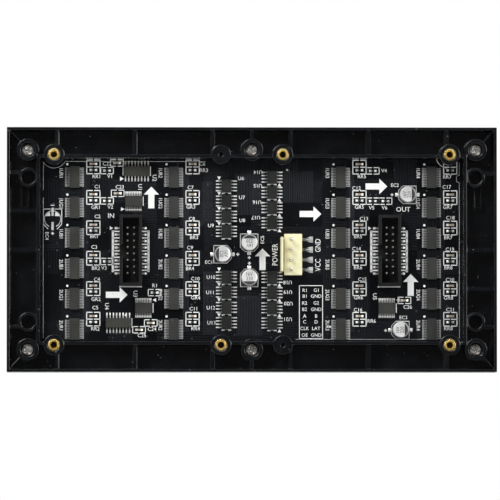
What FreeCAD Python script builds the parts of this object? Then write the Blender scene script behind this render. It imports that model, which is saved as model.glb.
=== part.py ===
import FreeCAD
import Part
import math
import os

# Full-colour LED module, 64 x 32 pixels at 3 mm pitch. Its wiring side is towards -Y, its lit face towards +Y.
# It stands on its long lower edge. +X is right for someone who looks at the wiring side, and +Z is up.
# The origin is below the middle of the module, on the plane that it stands on. All sizes are in millimetres.
# Places on the board count from the middle of the panel. Heights count from the board's rear face towards -Y.

# Pixel grid and outline
PIXEL_PITCH = 3.0
PIXEL_COLUMNS = 64
PIXEL_ROWS = 32
EDGE_RELIEF = 0.1  # the outline stands back this far from the grid, so that modules can be tiled

# Depth, from the rim of the rear frame to the lit face
FRAME_DEPTH = 10.4
BOARD_THICKNESS = 1.6
MASK_DEPTH = 2.5

# Face mask and LED packages
WINDOW_SIZE = 2.35
LOUVRE_DEPTH = 0.75
LED_SIZE = 2.1
MASK_PEG_SIZE = 0.9
MASK_PEG_CLEARANCE = 0.06
MASK_PEG_SHORT = 0.2  # the pegs end this far inside the board's rear face
MASK_PEG_BAR = 29  # bar of the mask, counted from the middle to either side, that carries two pegs
MASK_PEG_INSET = 5.9  # from the long edges to the pegs

# Board
BOARD_INSET = 0.2

# Rear frame, moulded in one piece
OUTER_WALL = 1.1
INNER_WALL = 1.2
WALL_DRAFT = 0.3  # every wall face leans out this much from rim to floor
WINDOW_INSET_SIDE = 12.9
WINDOW_CLEARANCE = 0.375  # from the lowest drivers to the foot of the inner wall
CHANNEL_FLOOR = 1.2
INNER_WALL_DROP = 0.4
RIB_WIDTH = 1.4
RIB_DROP = 0.9
RIB_PITCH = 30.5
RIB_PAIRS = 3  # along each long side, besides the middle rib
DIAGONAL_RIB = 0.7

# Six screws that hold the frame to nuts on the board
SCREW_INSET_SIDE = 8.2
SCREW_INSET_LONG = 8.8
SCREW_BOSS_RADIUS = 4.35
SCREW_BOSS_DROP = 0.8
SCREW_HEAD_RADIUS = 2.35
SCREW_HEAD_HEIGHT = 1.9
SCREW_HEAD_CLEARANCE = 0.45
SCREW_SHANK_RADIUS = 1.25
SCREW_SHANK_CLEARANCE = 0.2
SCREW_WEB = 1.5
SCREW_REACH = 4.9  # shank below the head's seat

# Hexagonal nuts, soldered to the board
NUT_SIDES = 6
NUT_ACROSS_FLATS = 4.0
NUT_HEIGHT = 3.5
NUT_POCKET_CLEARANCE = 0.25
NUT_TOP_CLEARANCE = 0.1
NUT_BORE_CLEARANCE = 0.02

# Threaded inserts and the two blank bosses beside the middle pair
INSERT_INSET_SIDE = 18.4
INSERT_INSET_LONG = 10.6
INSERT_MIDDLE_OFFSET = 12.1
INSERT_RADIUS = 2.5
INSERT_BORE_RADIUS = 1.25
INSERT_LENGTH = 8.0
INSERT_PRESS_CLEARANCE = 0.02
INSERT_BOSS_RADIUS = 4.0
BLANK_BOSS_RADIUS = 3.8
BLANK_BOSS_DROP = 0.4
BLANK_PILOT_RADIUS = 0.9
BLANK_PILOT_DEPTH = 3.0

# Hollow locating rings in the side channels, with a narrow slot under the two upper ones
RING_INSET_SIDE = 8.4
RING_INSET_LONG = 19.6
RING_RADIUS = 3.8
RING_BORE_RADIUS = 2.75
GUIDE_SLOT_WIDTH = 2.0
GUIDE_SLOT_WALL = 0.8
GUIDE_SLOT_LENGTH = 8.3
GUIDE_SLOT_HEIGHT = 4.0
GUIDE_SLOT_OFFSET = 1.2

# Small outline chips: drivers, row switches and decoders
CHIP_WIDTH = 3.9
CHIP_HEIGHT = 1.5
CHIP_STAND_OFF = 0.15
CHIP_DRAFT = 0.14
CHIP_LEG_SPAN = 6.0
CHIP_LEG_PITCH = 1.27
CHIP_LEG_WIDTH = 0.42
LEG_THICKNESS = 0.2
SWITCH_LENGTH = 4.9
SWITCH_LEGS = 4  # on each side, here and below
DECODER_LENGTH = 9.9
DECODER_LEGS = 8
DRIVER_LENGTH = 8.65
DRIVER_LEGS = 12
DRIVER_LEG_PITCH = 0.635
DRIVER_LEG_WIDTH = 0.25

# Fine pitch buffer chips
BUFFER_WIDTH = 4.4
BUFFER_LENGTH = 6.5
BUFFER_HEIGHT = 1.0
BUFFER_LEG_SPAN = 6.4
BUFFER_LEGS = 10
BUFFER_LEG_PITCH = 0.65
BUFFER_LEG_WIDTH = 0.24

# Places of the chips
DRIVER_COLUMNS = (-69.45, -30.5, 35.06, 70.75)
DRIVER_ROWS = 6
DRIVER_TOP_ROW = 28.75
DRIVER_STEP = 11.95
SWITCH_LEFT_COLUMN = -9.8
SWITCH_RIGHT_COLUMN = 8.1
SWITCH_STEP = 5.97
SWITCHES_IN_GROUP = 4
SWITCH_LEFT_UPPER_TOP = 25.36
SWITCH_LEFT_LOWER_TOP = -10.44
SWITCH_RIGHT_UPPER_TOP = 28.78
SWITCH_RIGHT_LOWER_TOP = -10.6
DECODER_UPPER = (-45.0, 31.1)
DECODER_LOWER = (-52.25, -28.5)
BUFFER_UPPER = (-46.3, 19.3)
BUFFER_LOWER = (-42.4, -22.6)
BUFFER_OUTPUT = (53.1, -22.6)

# Chip capacitors and resistors
CHIP_PART_LENGTH = 1.6
CHIP_PART_WIDTH = 0.8
CERAMIC_HEIGHT = 0.8
RESISTOR_HEIGHT = 0.45
CLUSTER_SIDE = 7.4  # from a driver to the pair of chip parts that serves it
CLUSTER_RISE = 4.0
CLUSTER_SPLIT = 2.4
LONE_CERAMICS = ((-52.8, 34.3), (-52.5, 22.4), (-39.5, -28.5), (-44.1, -31.2), (60.1, -19.6))
LONE_RESISTORS = (
    (-56.7, 31.3), (-56.7, 19.4), (-56.7, -4.4), (-38.0, -16.6), (47.7, 31.3), (47.7, 19.4), (52.7, 19.4),
)

# Aluminium can capacitors
CAN_RADIUS = 3.15
CAN_TOP = 5.8
CAN_SHOULDER = 0.35
CAN_BASE_SIZE = 6.6
CAN_BASE_TOP = 1.0
CAN_BASE_CORNER = 1.5
CAN_TAB_REACH = 4.55
CAN_TAB_LENGTH = 2.4
CAN_TAB_WIDTH = 0.9
CAN_TAB_THICKNESS = 0.2
# Each can: its place, and the quarter turns clockwise that bring its positive side from the right
CANS = (
    ((-0.86, 3.02), 1),
    ((-0.86, -10.8), 3),
    ((-11.35, -1.53), 0),
    ((61.3, 21.9), 2),
    ((58.5, -31.25), 2),
)

# Box headers, 2 x 8 pins
HEADER_PITCH = 2.54
HEADER_PINS_IN_ROW = 8
HEADER_PIN_SIZE = 0.64
HEADER_PIN_TOP = 8.0
HEADER_TAIL_REACH = 6.4
HEADER_TAIL_THICKNESS = 0.4
HEADER_TAIL_GAP = 0.1
SHROUD_WIDTH = 8.8
SHROUD_LENGTH = 27.9
SHROUD_TOP = 9.6
SHROUD_WALL = 1.2
SHROUD_FLOOR = 2.1
SHROUD_NOTCH_WIDTH = 4.5
HEADER_INPUT = (-47.4, -0.2)
HEADER_OUTPUT = (54.06, -0.2)

# Power socket, four pins in a row
SOCKET_PLACE = (16.3, -1.7)
SOCKET_WIDTH = 7.0
SOCKET_LENGTH = 16.2
SOCKET_BASE_TOP = 3.8
SOCKET_LOCK_REACH = 1.5  # the lock wall's outer face stands this far out from the base
SOCKET_LOCK_LENGTH = 13.5
SOCKET_LOCK_WALL = 1.0
SOCKET_LOCK_TOP = 9.4
SOCKET_LOCK_FOOT = 2.2
SOCKET_LOCK_BEVEL = 0.6
SOCKET_PITCH = 3.96
SOCKET_PINS = 4
SOCKET_PIN_SIZE = 1.14
SOCKET_PIN_TOP = 10.0
SOCKET_PIN_OFFSET = -0.8
SOCKET_TAIL_REACH = 4.15
SOCKET_TAIL_THICKNESS = 0.6

# Worked out from the sizes above
PANEL_WIDTH = PIXEL_COLUMNS * PIXEL_PITCH - 2 * EDGE_RELIEF
PANEL_HEIGHT = PIXEL_ROWS * PIXEL_PITCH - 2 * EDGE_RELIEF
PANEL_DEPTH = FRAME_DEPTH + BOARD_THICKNESS + MASK_DEPTH
HALF_WIDTH = PANEL_WIDTH / 2
HALF_HEIGHT = PANEL_HEIGHT / 2
BOARD_REAR = FRAME_DEPTH - PANEL_DEPTH / 2
DRIVER_LOW_END = DRIVER_LENGTH / 2 + (DRIVER_ROWS - 1) * DRIVER_STEP - DRIVER_TOP_ROW
WINDOW_HALF_WIDTH = HALF_WIDTH - WINDOW_INSET_SIDE
WINDOW_HALF_HEIGHT = DRIVER_LOW_END + WALL_DRAFT + WINDOW_CLEARANCE
NUT_POCKET_TOP = NUT_HEIGHT + NUT_TOP_CLEARANCE
SCREW_SEAT = NUT_POCKET_TOP + SCREW_WEB
BAR_WIDTH = PIXEL_PITCH - WINDOW_SIZE
SKIRT = BAR_WIDTH / 2 - EDGE_RELIEF
LED_HEIGHT = MASK_DEPTH - LOUVRE_DEPTH

SCREW_X = HALF_WIDTH - SCREW_INSET_SIDE
SCREW_Z = HALF_HEIGHT - SCREW_INSET_LONG
SCREW_PLACES = [(side * SCREW_X, edge * SCREW_Z) for side in (-1, 0, 1) for edge in (-1, 1)]
INSERT_X = HALF_WIDTH - INSERT_INSET_SIDE
INSERT_Z = HALF_HEIGHT - INSERT_INSET_LONG
INSERT_PLACES = [(side * INSERT_X, edge * INSERT_Z) for side in (-1, 1) for edge in (-1, 1)]
INSERT_PLACES += [(edge * INSERT_MIDDLE_OFFSET, edge * INSERT_Z) for edge in (-1, 1)]
BLANK_PLACES = [(-edge * INSERT_MIDDLE_OFFSET, edge * INSERT_Z) for edge in (-1, 1)]
RING_X = HALF_WIDTH - RING_INSET_SIDE
RING_Z = HALF_HEIGHT - RING_INSET_LONG


def point(across, height, along):
    """A point on the wiring side: across the panel, height above the board's rear face, up the panel."""
    return FreeCAD.Vector(across, BOARD_REAR - height, along)


def block(across, along, foot, top):
    """A box between two heights, from the pairs (left, right) and (low, high)."""
    corner = point(across[0], top, along[0])
    return Part.makeBox(across[1] - across[0], top - foot, along[1] - along[0], corner)


def centred_block(place, width, length, foot, top):
    """A box between two heights, centred on a place on the board."""
    across = (place[0] - width / 2, place[0] + width / 2)
    along = (place[1] - length / 2, place[1] + length / 2)
    return block(across, along, foot, top)


def post(place, radius, foot, top):
    """A round post between two heights."""
    return Part.makeCylinder(radius, top - foot, point(place[0], foot, place[1]), FreeCAD.Vector(0, -1, 0))


def hexagonal_post(place, across_flats, foot, top):
    """A six-sided post between two heights, with two flats level."""
    corner = across_flats / 2 / math.cos(math.pi / NUT_SIDES)
    angles = [math.tau * number / NUT_SIDES for number in range(NUT_SIDES)]
    corners = [point(place[0] + corner * math.cos(a), foot, place[1] + corner * math.sin(a)) for a in angles]
    wire = Part.makePolygon(corners + corners[:1])
    return Part.Face(wire).extrude(FreeCAD.Vector(0, foot - top, 0))


def drafted_block(half_width, half_height, foot, top, draft):
    """A block centred on the panel that narrows by draft on every side from its top to its foot."""
    low_width = half_width - draft
    low_height = half_height - draft
    return Part.makeWedge(
        -half_width, BOARD_REAR - top, -half_height, -low_height, -low_width,
        half_width, BOARD_REAR - foot, half_height, low_height, low_width,
    )


def profile_prism(outline, length):
    """Extrudes an outline of (across, height) points along the panel's Z, centred on the panel's middle."""
    corners = [point(across, height, -length / 2) for across, height in outline]
    wire = Part.makePolygon(corners + corners[:1])
    return Part.Face(wire).extrude(FreeCAD.Vector(0, 0, length))


def turned(outline, centre):
    """Revolves an outline of (radius, height) points about a place. The first and last lie on the axis."""
    corners = [point(centre[0] + radius, height, centre[1]) for radius, height in outline]
    wire = Part.makePolygon(corners + corners[:1])
    return Part.Face(wire).revolve(point(centre[0], 0, centre[1]), FreeCAD.Vector(0, 1, 0), 360)


def placed(shape, place, quarter_turns=0):
    """A copy of a shape built at the panel's middle, turned clockwise from the wiring side, then moved."""
    copy = shape.copy()
    copy.rotate(point(0, 0, 0), FreeCAD.Vector(0, 1, 0), 90 * quarter_turns)
    copy.translate(FreeCAD.Vector(place[0], 0, place[1]))
    return copy


def write(node, solids):
    """Raises the solids so that the panel stands on Z = 0, and writes them as one node."""
    raised = []
    for solid in solids:
        copy = solid.copy()
        copy.translate(FreeCAD.Vector(0, 0, HALF_HEIGHT))
        raised.append(copy)
    shape = raised[0] if len(raised) == 1 else Part.makeCompound(raised)
    shape.exportStep(os.path.join("parts", node + ".step"))


def front_block(half_width, half_height, near, far):
    """A box centred on the panel, between two depths in front of the board's lit side."""
    corner = point(-half_width, -BOARD_THICKNESS - near, -half_height)
    return Part.makeBox(2 * half_width, far - near, 2 * half_height, corner)


def led_mask():
    """Louvred front plate with a skirt, and the upright bars behind it that part the pixel columns."""
    inner_width = HALF_WIDTH - SKIRT
    inner_height = HALF_HEIGHT - SKIRT
    plate = front_block(HALF_WIDTH, HALF_HEIGHT, 0, MASK_DEPTH)
    plate = plate.cut(front_block(inner_width, inner_height, 0, LED_HEIGHT))
    slot = front_block(inner_width, WINDOW_SIZE / 2, LED_HEIGHT, MASK_DEPTH)
    slots = []
    for row in range(PIXEL_ROWS):
        copy = slot.copy()
        copy.translate(FreeCAD.Vector(0, 0, (row - (PIXEL_ROWS - 1) / 2) * PIXEL_PITCH))
        slots.append(copy)
    solids = [plate.cut(Part.makeCompound(slots))]
    bar = front_block(BAR_WIDTH / 2, inner_height, 0, LED_HEIGHT)
    for number in range(1 - PIXEL_COLUMNS // 2, PIXEL_COLUMNS // 2):
        across = number * PIXEL_PITCH
        upright = bar.copy()
        upright.translate(FreeCAD.Vector(across, 0, 0))
        if abs(number) == MASK_PEG_BAR:
            upright = upright.fuse([mask_peg(place) for place in mask_peg_places() if place[0] == across])
        solids.append(upright)
    return solids


def mask_peg_places():
    """Places of the mask's four locating pegs, near the panel's corners."""
    along = HALF_HEIGHT - MASK_PEG_INSET
    return [(side * MASK_PEG_BAR * PIXEL_PITCH, edge * along) for side in (-1, 1) for edge in (-1, 1)]


def mask_peg(place):
    """One square locating peg, from the board's lit side to just inside its rear face."""
    return centred_block(place, MASK_PEG_SIZE, MASK_PEG_SIZE, -BOARD_THICKNESS, -MASK_PEG_SHORT)


def led_packages():
    """One column of LED packages as one strip, because single packages would pass the limit on facets."""
    reach = ((PIXEL_ROWS - 1) * PIXEL_PITCH + LED_SIZE) / 2
    strip = front_block(LED_SIZE / 2, reach, 0, LED_HEIGHT)
    strips = []
    for column in range(PIXEL_COLUMNS):
        copy = strip.copy()
        copy.translate(FreeCAD.Vector((column - (PIXEL_COLUMNS - 1) / 2) * PIXEL_PITCH, 0, 0))
        strips.append(copy)
    return strips


def circuit_board():
    """Board with round holes for the mask's locating pegs."""
    half_width = HALF_WIDTH - BOARD_INSET
    half_height = HALF_HEIGHT - BOARD_INSET
    board = block((-half_width, half_width), (-half_height, half_height), -BOARD_THICKNESS, 0)
    radius = MASK_PEG_SIZE / math.sqrt(2) + MASK_PEG_CLEARANCE
    return board.cut([post(place, radius, -BOARD_THICKNESS, 0) for place in mask_peg_places()])


def frame_shell():
    """Outer wall, floor and inner wall of the rear frame, with drafted faces and the open middle."""
    outside = block((-HALF_WIDTH, HALF_WIDTH), (-HALF_HEIGHT, HALF_HEIGHT), 0, FRAME_DEPTH)
    channel_width = HALF_WIDTH - OUTER_WALL
    channel_height = HALF_HEIGHT - OUTER_WALL
    channel = drafted_block(channel_width, channel_height, CHANNEL_FLOOR, FRAME_DEPTH, WALL_DRAFT)
    kept_width = WINDOW_HALF_WIDTH + INNER_WALL
    kept_height = WINDOW_HALF_HEIGHT + INNER_WALL
    inner_top = FRAME_DEPTH - INNER_WALL_DROP
    kept = drafted_block(kept_width, kept_height, CHANNEL_FLOOR, inner_top, -WALL_DRAFT)
    window = drafted_block(WINDOW_HALF_WIDTH, WINDOW_HALF_HEIGHT, 0, FRAME_DEPTH, WALL_DRAFT)
    return outside.cut(channel.cut(kept)).cut(window)


def frame_ribs():
    """Ribs across the channel, at every half pitch that the moulding has one."""
    top = FRAME_DEPTH - RIB_DROP
    inner_x = WINDOW_HALF_WIDTH + INNER_WALL / 2
    outer_x = HALF_WIDTH - OUTER_WALL / 2
    inner_z = WINDOW_HALF_HEIGHT + INNER_WALL / 2
    outer_z = HALF_HEIGHT - OUTER_WALL / 2
    half_rib = RIB_WIDTH / 2
    ribs = []
    paired = [side * (pair + 0.5) * RIB_PITCH for pair in range(RIB_PAIRS) for side in (-1, 1)]
    for across in [0] + paired:
        for low, high in ((-outer_z, -inner_z), (inner_z, outer_z)):
            ribs.append(block((across - half_rib, across + half_rib), (low, high), 0, top))
    side_ribs = [(-1, 0), (1, 0), (-1, RIB_PITCH / 2), (1, -RIB_PITCH / 2)]
    for side, along in side_ribs:
        across = (inner_x, outer_x) if side > 0 else (-outer_x, -inner_x)
        ribs.append(block(across, (along - half_rib, along + half_rib), 0, top))
    for side in (-1, 1):
        for edge in (-1, 1):
            across = (RING_X, outer_x) if side > 0 else (-outer_x, -RING_X)
            along = edge * (RING_Z + RING_RADIUS / 2)
            ribs.append(block(across, (along - half_rib, along + half_rib), 0, top))
    return ribs


def corner_ribs():
    """Thin ribs from the four corners to the corner screw bosses."""
    reach_x = HALF_WIDTH - OUTER_WALL / 2 - SCREW_X
    reach_z = HALF_HEIGHT - OUTER_WALL / 2 - SCREW_Z
    length = math.hypot(reach_x, reach_z)
    lean = math.degrees(math.atan2(reach_z, reach_x))
    ribs = []
    for side in (-1, 1):
        for edge in (-1, 1):
            rib = block((0, length), (-DIAGONAL_RIB / 2, DIAGONAL_RIB / 2), 0, FRAME_DEPTH - RIB_DROP)
            angle = lean * edge if side > 0 else 180 - lean * edge
            rib.rotate(point(0, 0, 0), FreeCAD.Vector(0, 1, 0), -angle)
            rib.translate(FreeCAD.Vector(side * SCREW_X, 0, edge * SCREW_Z))
            ribs.append(rib)
    return ribs


def guide_slots():
    """Low U-shaped slots that hang from the two upper rings."""
    low = RING_Z - RING_RADIUS - GUIDE_SLOT_LENGTH
    high = RING_Z - RING_RADIUS + GUIDE_SLOT_WALL
    offset = (GUIDE_SLOT_WIDTH + GUIDE_SLOT_WALL) / 2
    walls = []
    for side in (-1, 1):
        middle = side * (RING_X + GUIDE_SLOT_OFFSET)
        for wall in (-1, 1):
            left = middle + wall * offset - GUIDE_SLOT_WALL / 2
            walls.append(block((left, left + GUIDE_SLOT_WALL), (low, high), 0, GUIDE_SLOT_HEIGHT))
        ends = (middle - offset, middle + offset)
        walls.append(block(ends, (low, low + GUIDE_SLOT_WALL), 0, GUIDE_SLOT_HEIGHT))
    return walls


def rear_frame():
    """The whole moulded frame: shell, ribs, bosses and rings, then every hole in them."""
    added = frame_ribs() + corner_ribs() + guide_slots()
    ring_places = [(side * RING_X, edge * RING_Z) for side in (-1, 1) for edge in (-1, 1)]
    added += [post(place, SCREW_BOSS_RADIUS, 0, FRAME_DEPTH - SCREW_BOSS_DROP) for place in SCREW_PLACES]
    added += [post(place, INSERT_BOSS_RADIUS, 0, FRAME_DEPTH) for place in INSERT_PLACES]
    added += [post(place, BLANK_BOSS_RADIUS, 0, FRAME_DEPTH - BLANK_BOSS_DROP) for place in BLANK_PLACES]
    added += [post(place, RING_RADIUS, 0, FRAME_DEPTH - RIB_DROP) for place in ring_places]
    frame = frame_shell().fuse(added)
    holes = []
    for place in SCREW_PLACES:
        holes.append(post(place, SCREW_HEAD_RADIUS + SCREW_HEAD_CLEARANCE, SCREW_SEAT, FRAME_DEPTH))
        holes.append(post(place, SCREW_SHANK_RADIUS + SCREW_SHANK_CLEARANCE, 0, SCREW_SEAT))
        pocket = NUT_ACROSS_FLATS + 2 * NUT_POCKET_CLEARANCE
        holes.append(hexagonal_post(place, pocket, 0, NUT_POCKET_TOP))
    for place in INSERT_PLACES:
        radius = INSERT_RADIUS + INSERT_PRESS_CLEARANCE
        holes.append(post(place, radius, FRAME_DEPTH - INSERT_LENGTH, FRAME_DEPTH))
    for place in BLANK_PLACES:
        top = FRAME_DEPTH - BLANK_BOSS_DROP
        holes.append(post(place, BLANK_PILOT_RADIUS, top - BLANK_PILOT_DEPTH, top))
    for place in ring_places:
        holes.append(post(place, RING_BORE_RADIUS, CHANNEL_FLOOR, FRAME_DEPTH))
    return frame.cut(holes).removeSplitter()


def frame_screw(place):
    """Pan head screw, its head on the seat in the boss."""
    head_top = SCREW_SEAT + SCREW_HEAD_HEIGHT
    outline = [
        (0, SCREW_SEAT - SCREW_REACH),
        (SCREW_SHANK_RADIUS, SCREW_SEAT - SCREW_REACH),
        (SCREW_SHANK_RADIUS, SCREW_SEAT),
        (SCREW_HEAD_RADIUS, SCREW_SEAT),
        (SCREW_HEAD_RADIUS, head_top),
        (0, head_top),
    ]
    return turned(outline, place)


def threaded_insert(place):
    """Brass insert, flush with the frame's rim."""
    foot = FRAME_DEPTH - INSERT_LENGTH
    body = post(place, INSERT_RADIUS, foot, FRAME_DEPTH)
    return body.cut(post(place, INSERT_BORE_RADIUS, foot, FRAME_DEPTH))


def solder_nut(place):
    """Hexagonal nut that stands on the board."""
    nut = hexagonal_post(place, NUT_ACROSS_FLATS, 0, NUT_HEIGHT)
    return nut.cut(post(place, SCREW_SHANK_RADIUS + NUT_BORE_CLEARANCE, 0, NUT_HEIGHT))


def chip_body(width, length, height):
    """Moulded chip body at the panel's middle, widest where its legs leave it."""
    half = width / 2
    waist = CHIP_STAND_OFF + height / 2
    top = CHIP_STAND_OFF + height
    outline = [
        (CHIP_DRAFT - half, CHIP_STAND_OFF),
        (half - CHIP_DRAFT, CHIP_STAND_OFF),
        (half, waist),
        (half - CHIP_DRAFT, top),
        (CHIP_DRAFT - half, top),
        (-half, waist),
    ]
    return profile_prism(outline, length)


def chip_legs(width, height, span, pitch, leg_width, count):
    """Two rows of bent legs at the panel's middle. Each is one strip, as single legs would be too many."""
    waist = CHIP_STAND_OFF + height / 2 + LEG_THICKNESS / 2
    inside = width / 2
    toe = span / 2
    knee = inside + LEG_THICKNESS
    outline = [
        (inside, 0),
        (toe, 0),
        (toe, LEG_THICKNESS),
        (knee, LEG_THICKNESS),
        (knee, waist),
        (inside, waist),
    ]
    row = profile_prism(outline, (count - 1) * pitch + leg_width)
    return [row, placed(row, (0, 0), 2)]


def driver_places(row):
    """Places of the four drivers of one row, counted from the top."""
    return [(column, DRIVER_TOP_ROW - row * DRIVER_STEP) for column in DRIVER_COLUMNS]


def switch_places(column, top):
    """Places of one group of row switches, from the top down."""
    return [(column, top - number * SWITCH_STEP) for number in range(SWITCHES_IN_GROUP)]


def can_capacitor(place, quarter_turns):
    """The can and the base of one capacitor, and its two tabs, with the positive side first on the right."""
    outline = [
        (0, CAN_BASE_TOP),
        (CAN_RADIUS, CAN_BASE_TOP),
        (CAN_RADIUS, CAN_TOP - CAN_SHOULDER),
        (CAN_RADIUS - CAN_SHOULDER, CAN_TOP),
        (0, CAN_TOP),
    ]
    can = turned(outline, place)
    half = CAN_BASE_SIZE / 2
    corners = [(-half, -half), (half - CAN_BASE_CORNER, -half), (half, CAN_BASE_CORNER - half)]
    corners += [(half, half - CAN_BASE_CORNER), (half - CAN_BASE_CORNER, half), (-half, half)]
    wire = Part.makePolygon([point(x, CAN_TAB_THICKNESS, z) for x, z in corners + corners[:1]])
    base = Part.Face(wire).extrude(FreeCAD.Vector(0, CAN_TAB_THICKNESS - CAN_BASE_TOP, 0))
    tab_start = CAN_TAB_REACH - CAN_TAB_LENGTH
    half_tab = CAN_TAB_WIDTH / 2
    right_tab = block((tab_start, CAN_TAB_REACH), (-half_tab, half_tab), 0, CAN_TAB_THICKNESS)
    left_tab = placed(right_tab, (0, 0), 2)
    tabs = [placed(tab, place, quarter_turns) for tab in (right_tab, left_tab)]
    return can, placed(base, place, quarter_turns), tabs


def cluster_places():
    """The upper and lower place of each pair of chip parts beside a driver."""
    uppers = []
    lowers = []
    for column in DRIVER_COLUMNS:
        for row in range(DRIVER_ROWS):
            across = column + CLUSTER_SIDE
            along = DRIVER_TOP_ROW - row * DRIVER_STEP + CLUSTER_RISE
            lowers.append((across, along - CLUSTER_SPLIT / 2))
            if column != DRIVER_COLUMNS[-1] or row > 0:
                uppers.append((across, along + CLUSTER_SPLIT / 2))
    return uppers, lowers


def header_pins(place):
    """Sixteen bent pins of a box header."""
    inside = (HEADER_PITCH - HEADER_PIN_SIZE) / 2
    outside = inside + HEADER_PIN_SIZE
    outline = [
        (inside, 0),
        (HEADER_TAIL_REACH, 0),
        (HEADER_TAIL_REACH, HEADER_TAIL_THICKNESS),
        (outside, HEADER_TAIL_THICKNESS),
        (outside, HEADER_PIN_TOP),
        (inside, HEADER_PIN_TOP),
    ]
    pin = profile_prism(outline, HEADER_PIN_SIZE)
    pins = []
    for number in range(HEADER_PINS_IN_ROW):
        along = place[1] + (number - (HEADER_PINS_IN_ROW - 1) / 2) * HEADER_PITCH
        pins.append(placed(pin, (place[0], along)))
        pins.append(placed(pin, (place[0], along), 2))
    return pins


def header_shroud(place, pins):
    """Box round the header's pins, with the key notch in its left wall."""
    foot = HEADER_TAIL_THICKNESS + HEADER_TAIL_GAP
    floor = foot + SHROUD_FLOOR
    shroud = centred_block(place, SHROUD_WIDTH, SHROUD_LENGTH, foot, SHROUD_TOP)
    inner_width = SHROUD_WIDTH - 2 * SHROUD_WALL
    inner_length = SHROUD_LENGTH - 2 * SHROUD_WALL
    shroud = shroud.cut(centred_block(place, inner_width, inner_length, floor, SHROUD_TOP))
    left_wall = (place[0] - (SHROUD_WIDTH - SHROUD_WALL) / 2, place[1])
    shroud = shroud.cut(centred_block(left_wall, SHROUD_WALL, SHROUD_NOTCH_WIDTH, floor, SHROUD_TOP))
    return shroud.cut(Part.makeCompound(pins))


def socket_pins():
    """Four bent pins of the power socket, tails to the right."""
    half = SOCKET_PIN_SIZE / 2
    reach = SOCKET_WIDTH / 2 + SOCKET_TAIL_REACH
    outline = [
        (SOCKET_PIN_OFFSET - half, 0),
        (reach, 0),
        (reach, SOCKET_TAIL_THICKNESS),
        (SOCKET_PIN_OFFSET + half, SOCKET_TAIL_THICKNESS),
        (SOCKET_PIN_OFFSET + half, SOCKET_PIN_TOP),
        (SOCKET_PIN_OFFSET - half, SOCKET_PIN_TOP),
    ]
    pin = profile_prism(outline, SOCKET_PIN_SIZE)
    rows = [(number - (SOCKET_PINS - 1) / 2) * SOCKET_PITCH for number in range(SOCKET_PINS)]
    return [placed(pin, (SOCKET_PLACE[0], SOCKET_PLACE[1] + row)) for row in rows]


def socket_base(pins):
    """Wafer of the power socket, with its lock wall on the left."""
    base = centred_block(SOCKET_PLACE, SOCKET_WIDTH, SOCKET_LENGTH, 0, SOCKET_BASE_TOP)
    edge = -SOCKET_WIDTH / 2
    outer = edge - SOCKET_LOCK_REACH
    outline = [
        (edge, 0),
        (edge, SOCKET_LOCK_FOOT),
        (outer + SOCKET_LOCK_WALL, SOCKET_LOCK_FOOT),
        (outer + SOCKET_LOCK_WALL, SOCKET_LOCK_TOP),
        (outer + SOCKET_LOCK_BEVEL, SOCKET_LOCK_TOP),
        (outer, SOCKET_LOCK_TOP - SOCKET_LOCK_BEVEL),
        (outer, 0),
    ]
    lock = placed(profile_prism(outline, SOCKET_LOCK_LENGTH), SOCKET_PLACE)
    return base.fuse(lock).cut(Part.makeCompound(pins)).removeSplitter()


def build_chips():
    """Writes every chip body and every row of chip legs."""
    names = ["red_drivers_upper", "green_drivers_upper", "blue_drivers_upper"]
    names += ["blue_drivers_lower", "green_drivers_lower", "red_drivers_lower"]
    driver = chip_body(CHIP_WIDTH, DRIVER_LENGTH, CHIP_HEIGHT)
    legs = chip_legs(CHIP_WIDTH, CHIP_HEIGHT, CHIP_LEG_SPAN, DRIVER_LEG_PITCH, DRIVER_LEG_WIDTH, DRIVER_LEGS)
    driver_legs = []
    for row, name in enumerate(names):
        write(name, [placed(driver, place) for place in driver_places(row)])
        driver_legs += [placed(leg, place) for place in driver_places(row) for leg in legs]
    write("driver_legs", driver_legs)
    switch = chip_body(CHIP_WIDTH, SWITCH_LENGTH, CHIP_HEIGHT)
    chip_sizes = (CHIP_WIDTH, CHIP_HEIGHT, CHIP_LEG_SPAN, CHIP_LEG_PITCH, CHIP_LEG_WIDTH)
    switch_legs = chip_legs(*chip_sizes, SWITCH_LEGS)
    groups = {
        "left_upper": switch_places(SWITCH_LEFT_COLUMN, SWITCH_LEFT_UPPER_TOP),
        "left_lower": switch_places(SWITCH_LEFT_COLUMN, SWITCH_LEFT_LOWER_TOP),
        "right_upper": switch_places(SWITCH_RIGHT_COLUMN, SWITCH_RIGHT_UPPER_TOP),
        "right_lower": switch_places(SWITCH_RIGHT_COLUMN, SWITCH_RIGHT_LOWER_TOP),
    }
    for name, places in groups.items():
        write("row_switches_" + name, [placed(switch, place) for place in places])
        write("row_switch_legs_" + name, [placed(leg, place) for place in places for leg in switch_legs])
    decoder = chip_body(CHIP_WIDTH, DECODER_LENGTH, CHIP_HEIGHT)
    decoder_legs = chip_legs(*chip_sizes, DECODER_LEGS)
    for name, place in (("upper", DECODER_UPPER), ("lower", DECODER_LOWER)):
        write("row_decoder_" + name, [placed(decoder, place, 1)])
        write("row_decoder_legs_" + name, [placed(leg, place, 1) for leg in decoder_legs])
    buffer = chip_body(BUFFER_WIDTH, BUFFER_LENGTH, BUFFER_HEIGHT)
    buffer_sizes = (BUFFER_WIDTH, BUFFER_HEIGHT, BUFFER_LEG_SPAN, BUFFER_LEG_PITCH, BUFFER_LEG_WIDTH)
    legs = chip_legs(*buffer_sizes, BUFFER_LEGS)
    buffer_legs = []
    for name, place in (("upper", BUFFER_UPPER), ("lower", BUFFER_LOWER), ("output", BUFFER_OUTPUT)):
        write("signal_buffer_" + name, [placed(buffer, place, 1)])
        buffer_legs += [placed(leg, place, 1) for leg in legs]
    write("signal_buffer_legs", buffer_legs)


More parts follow.
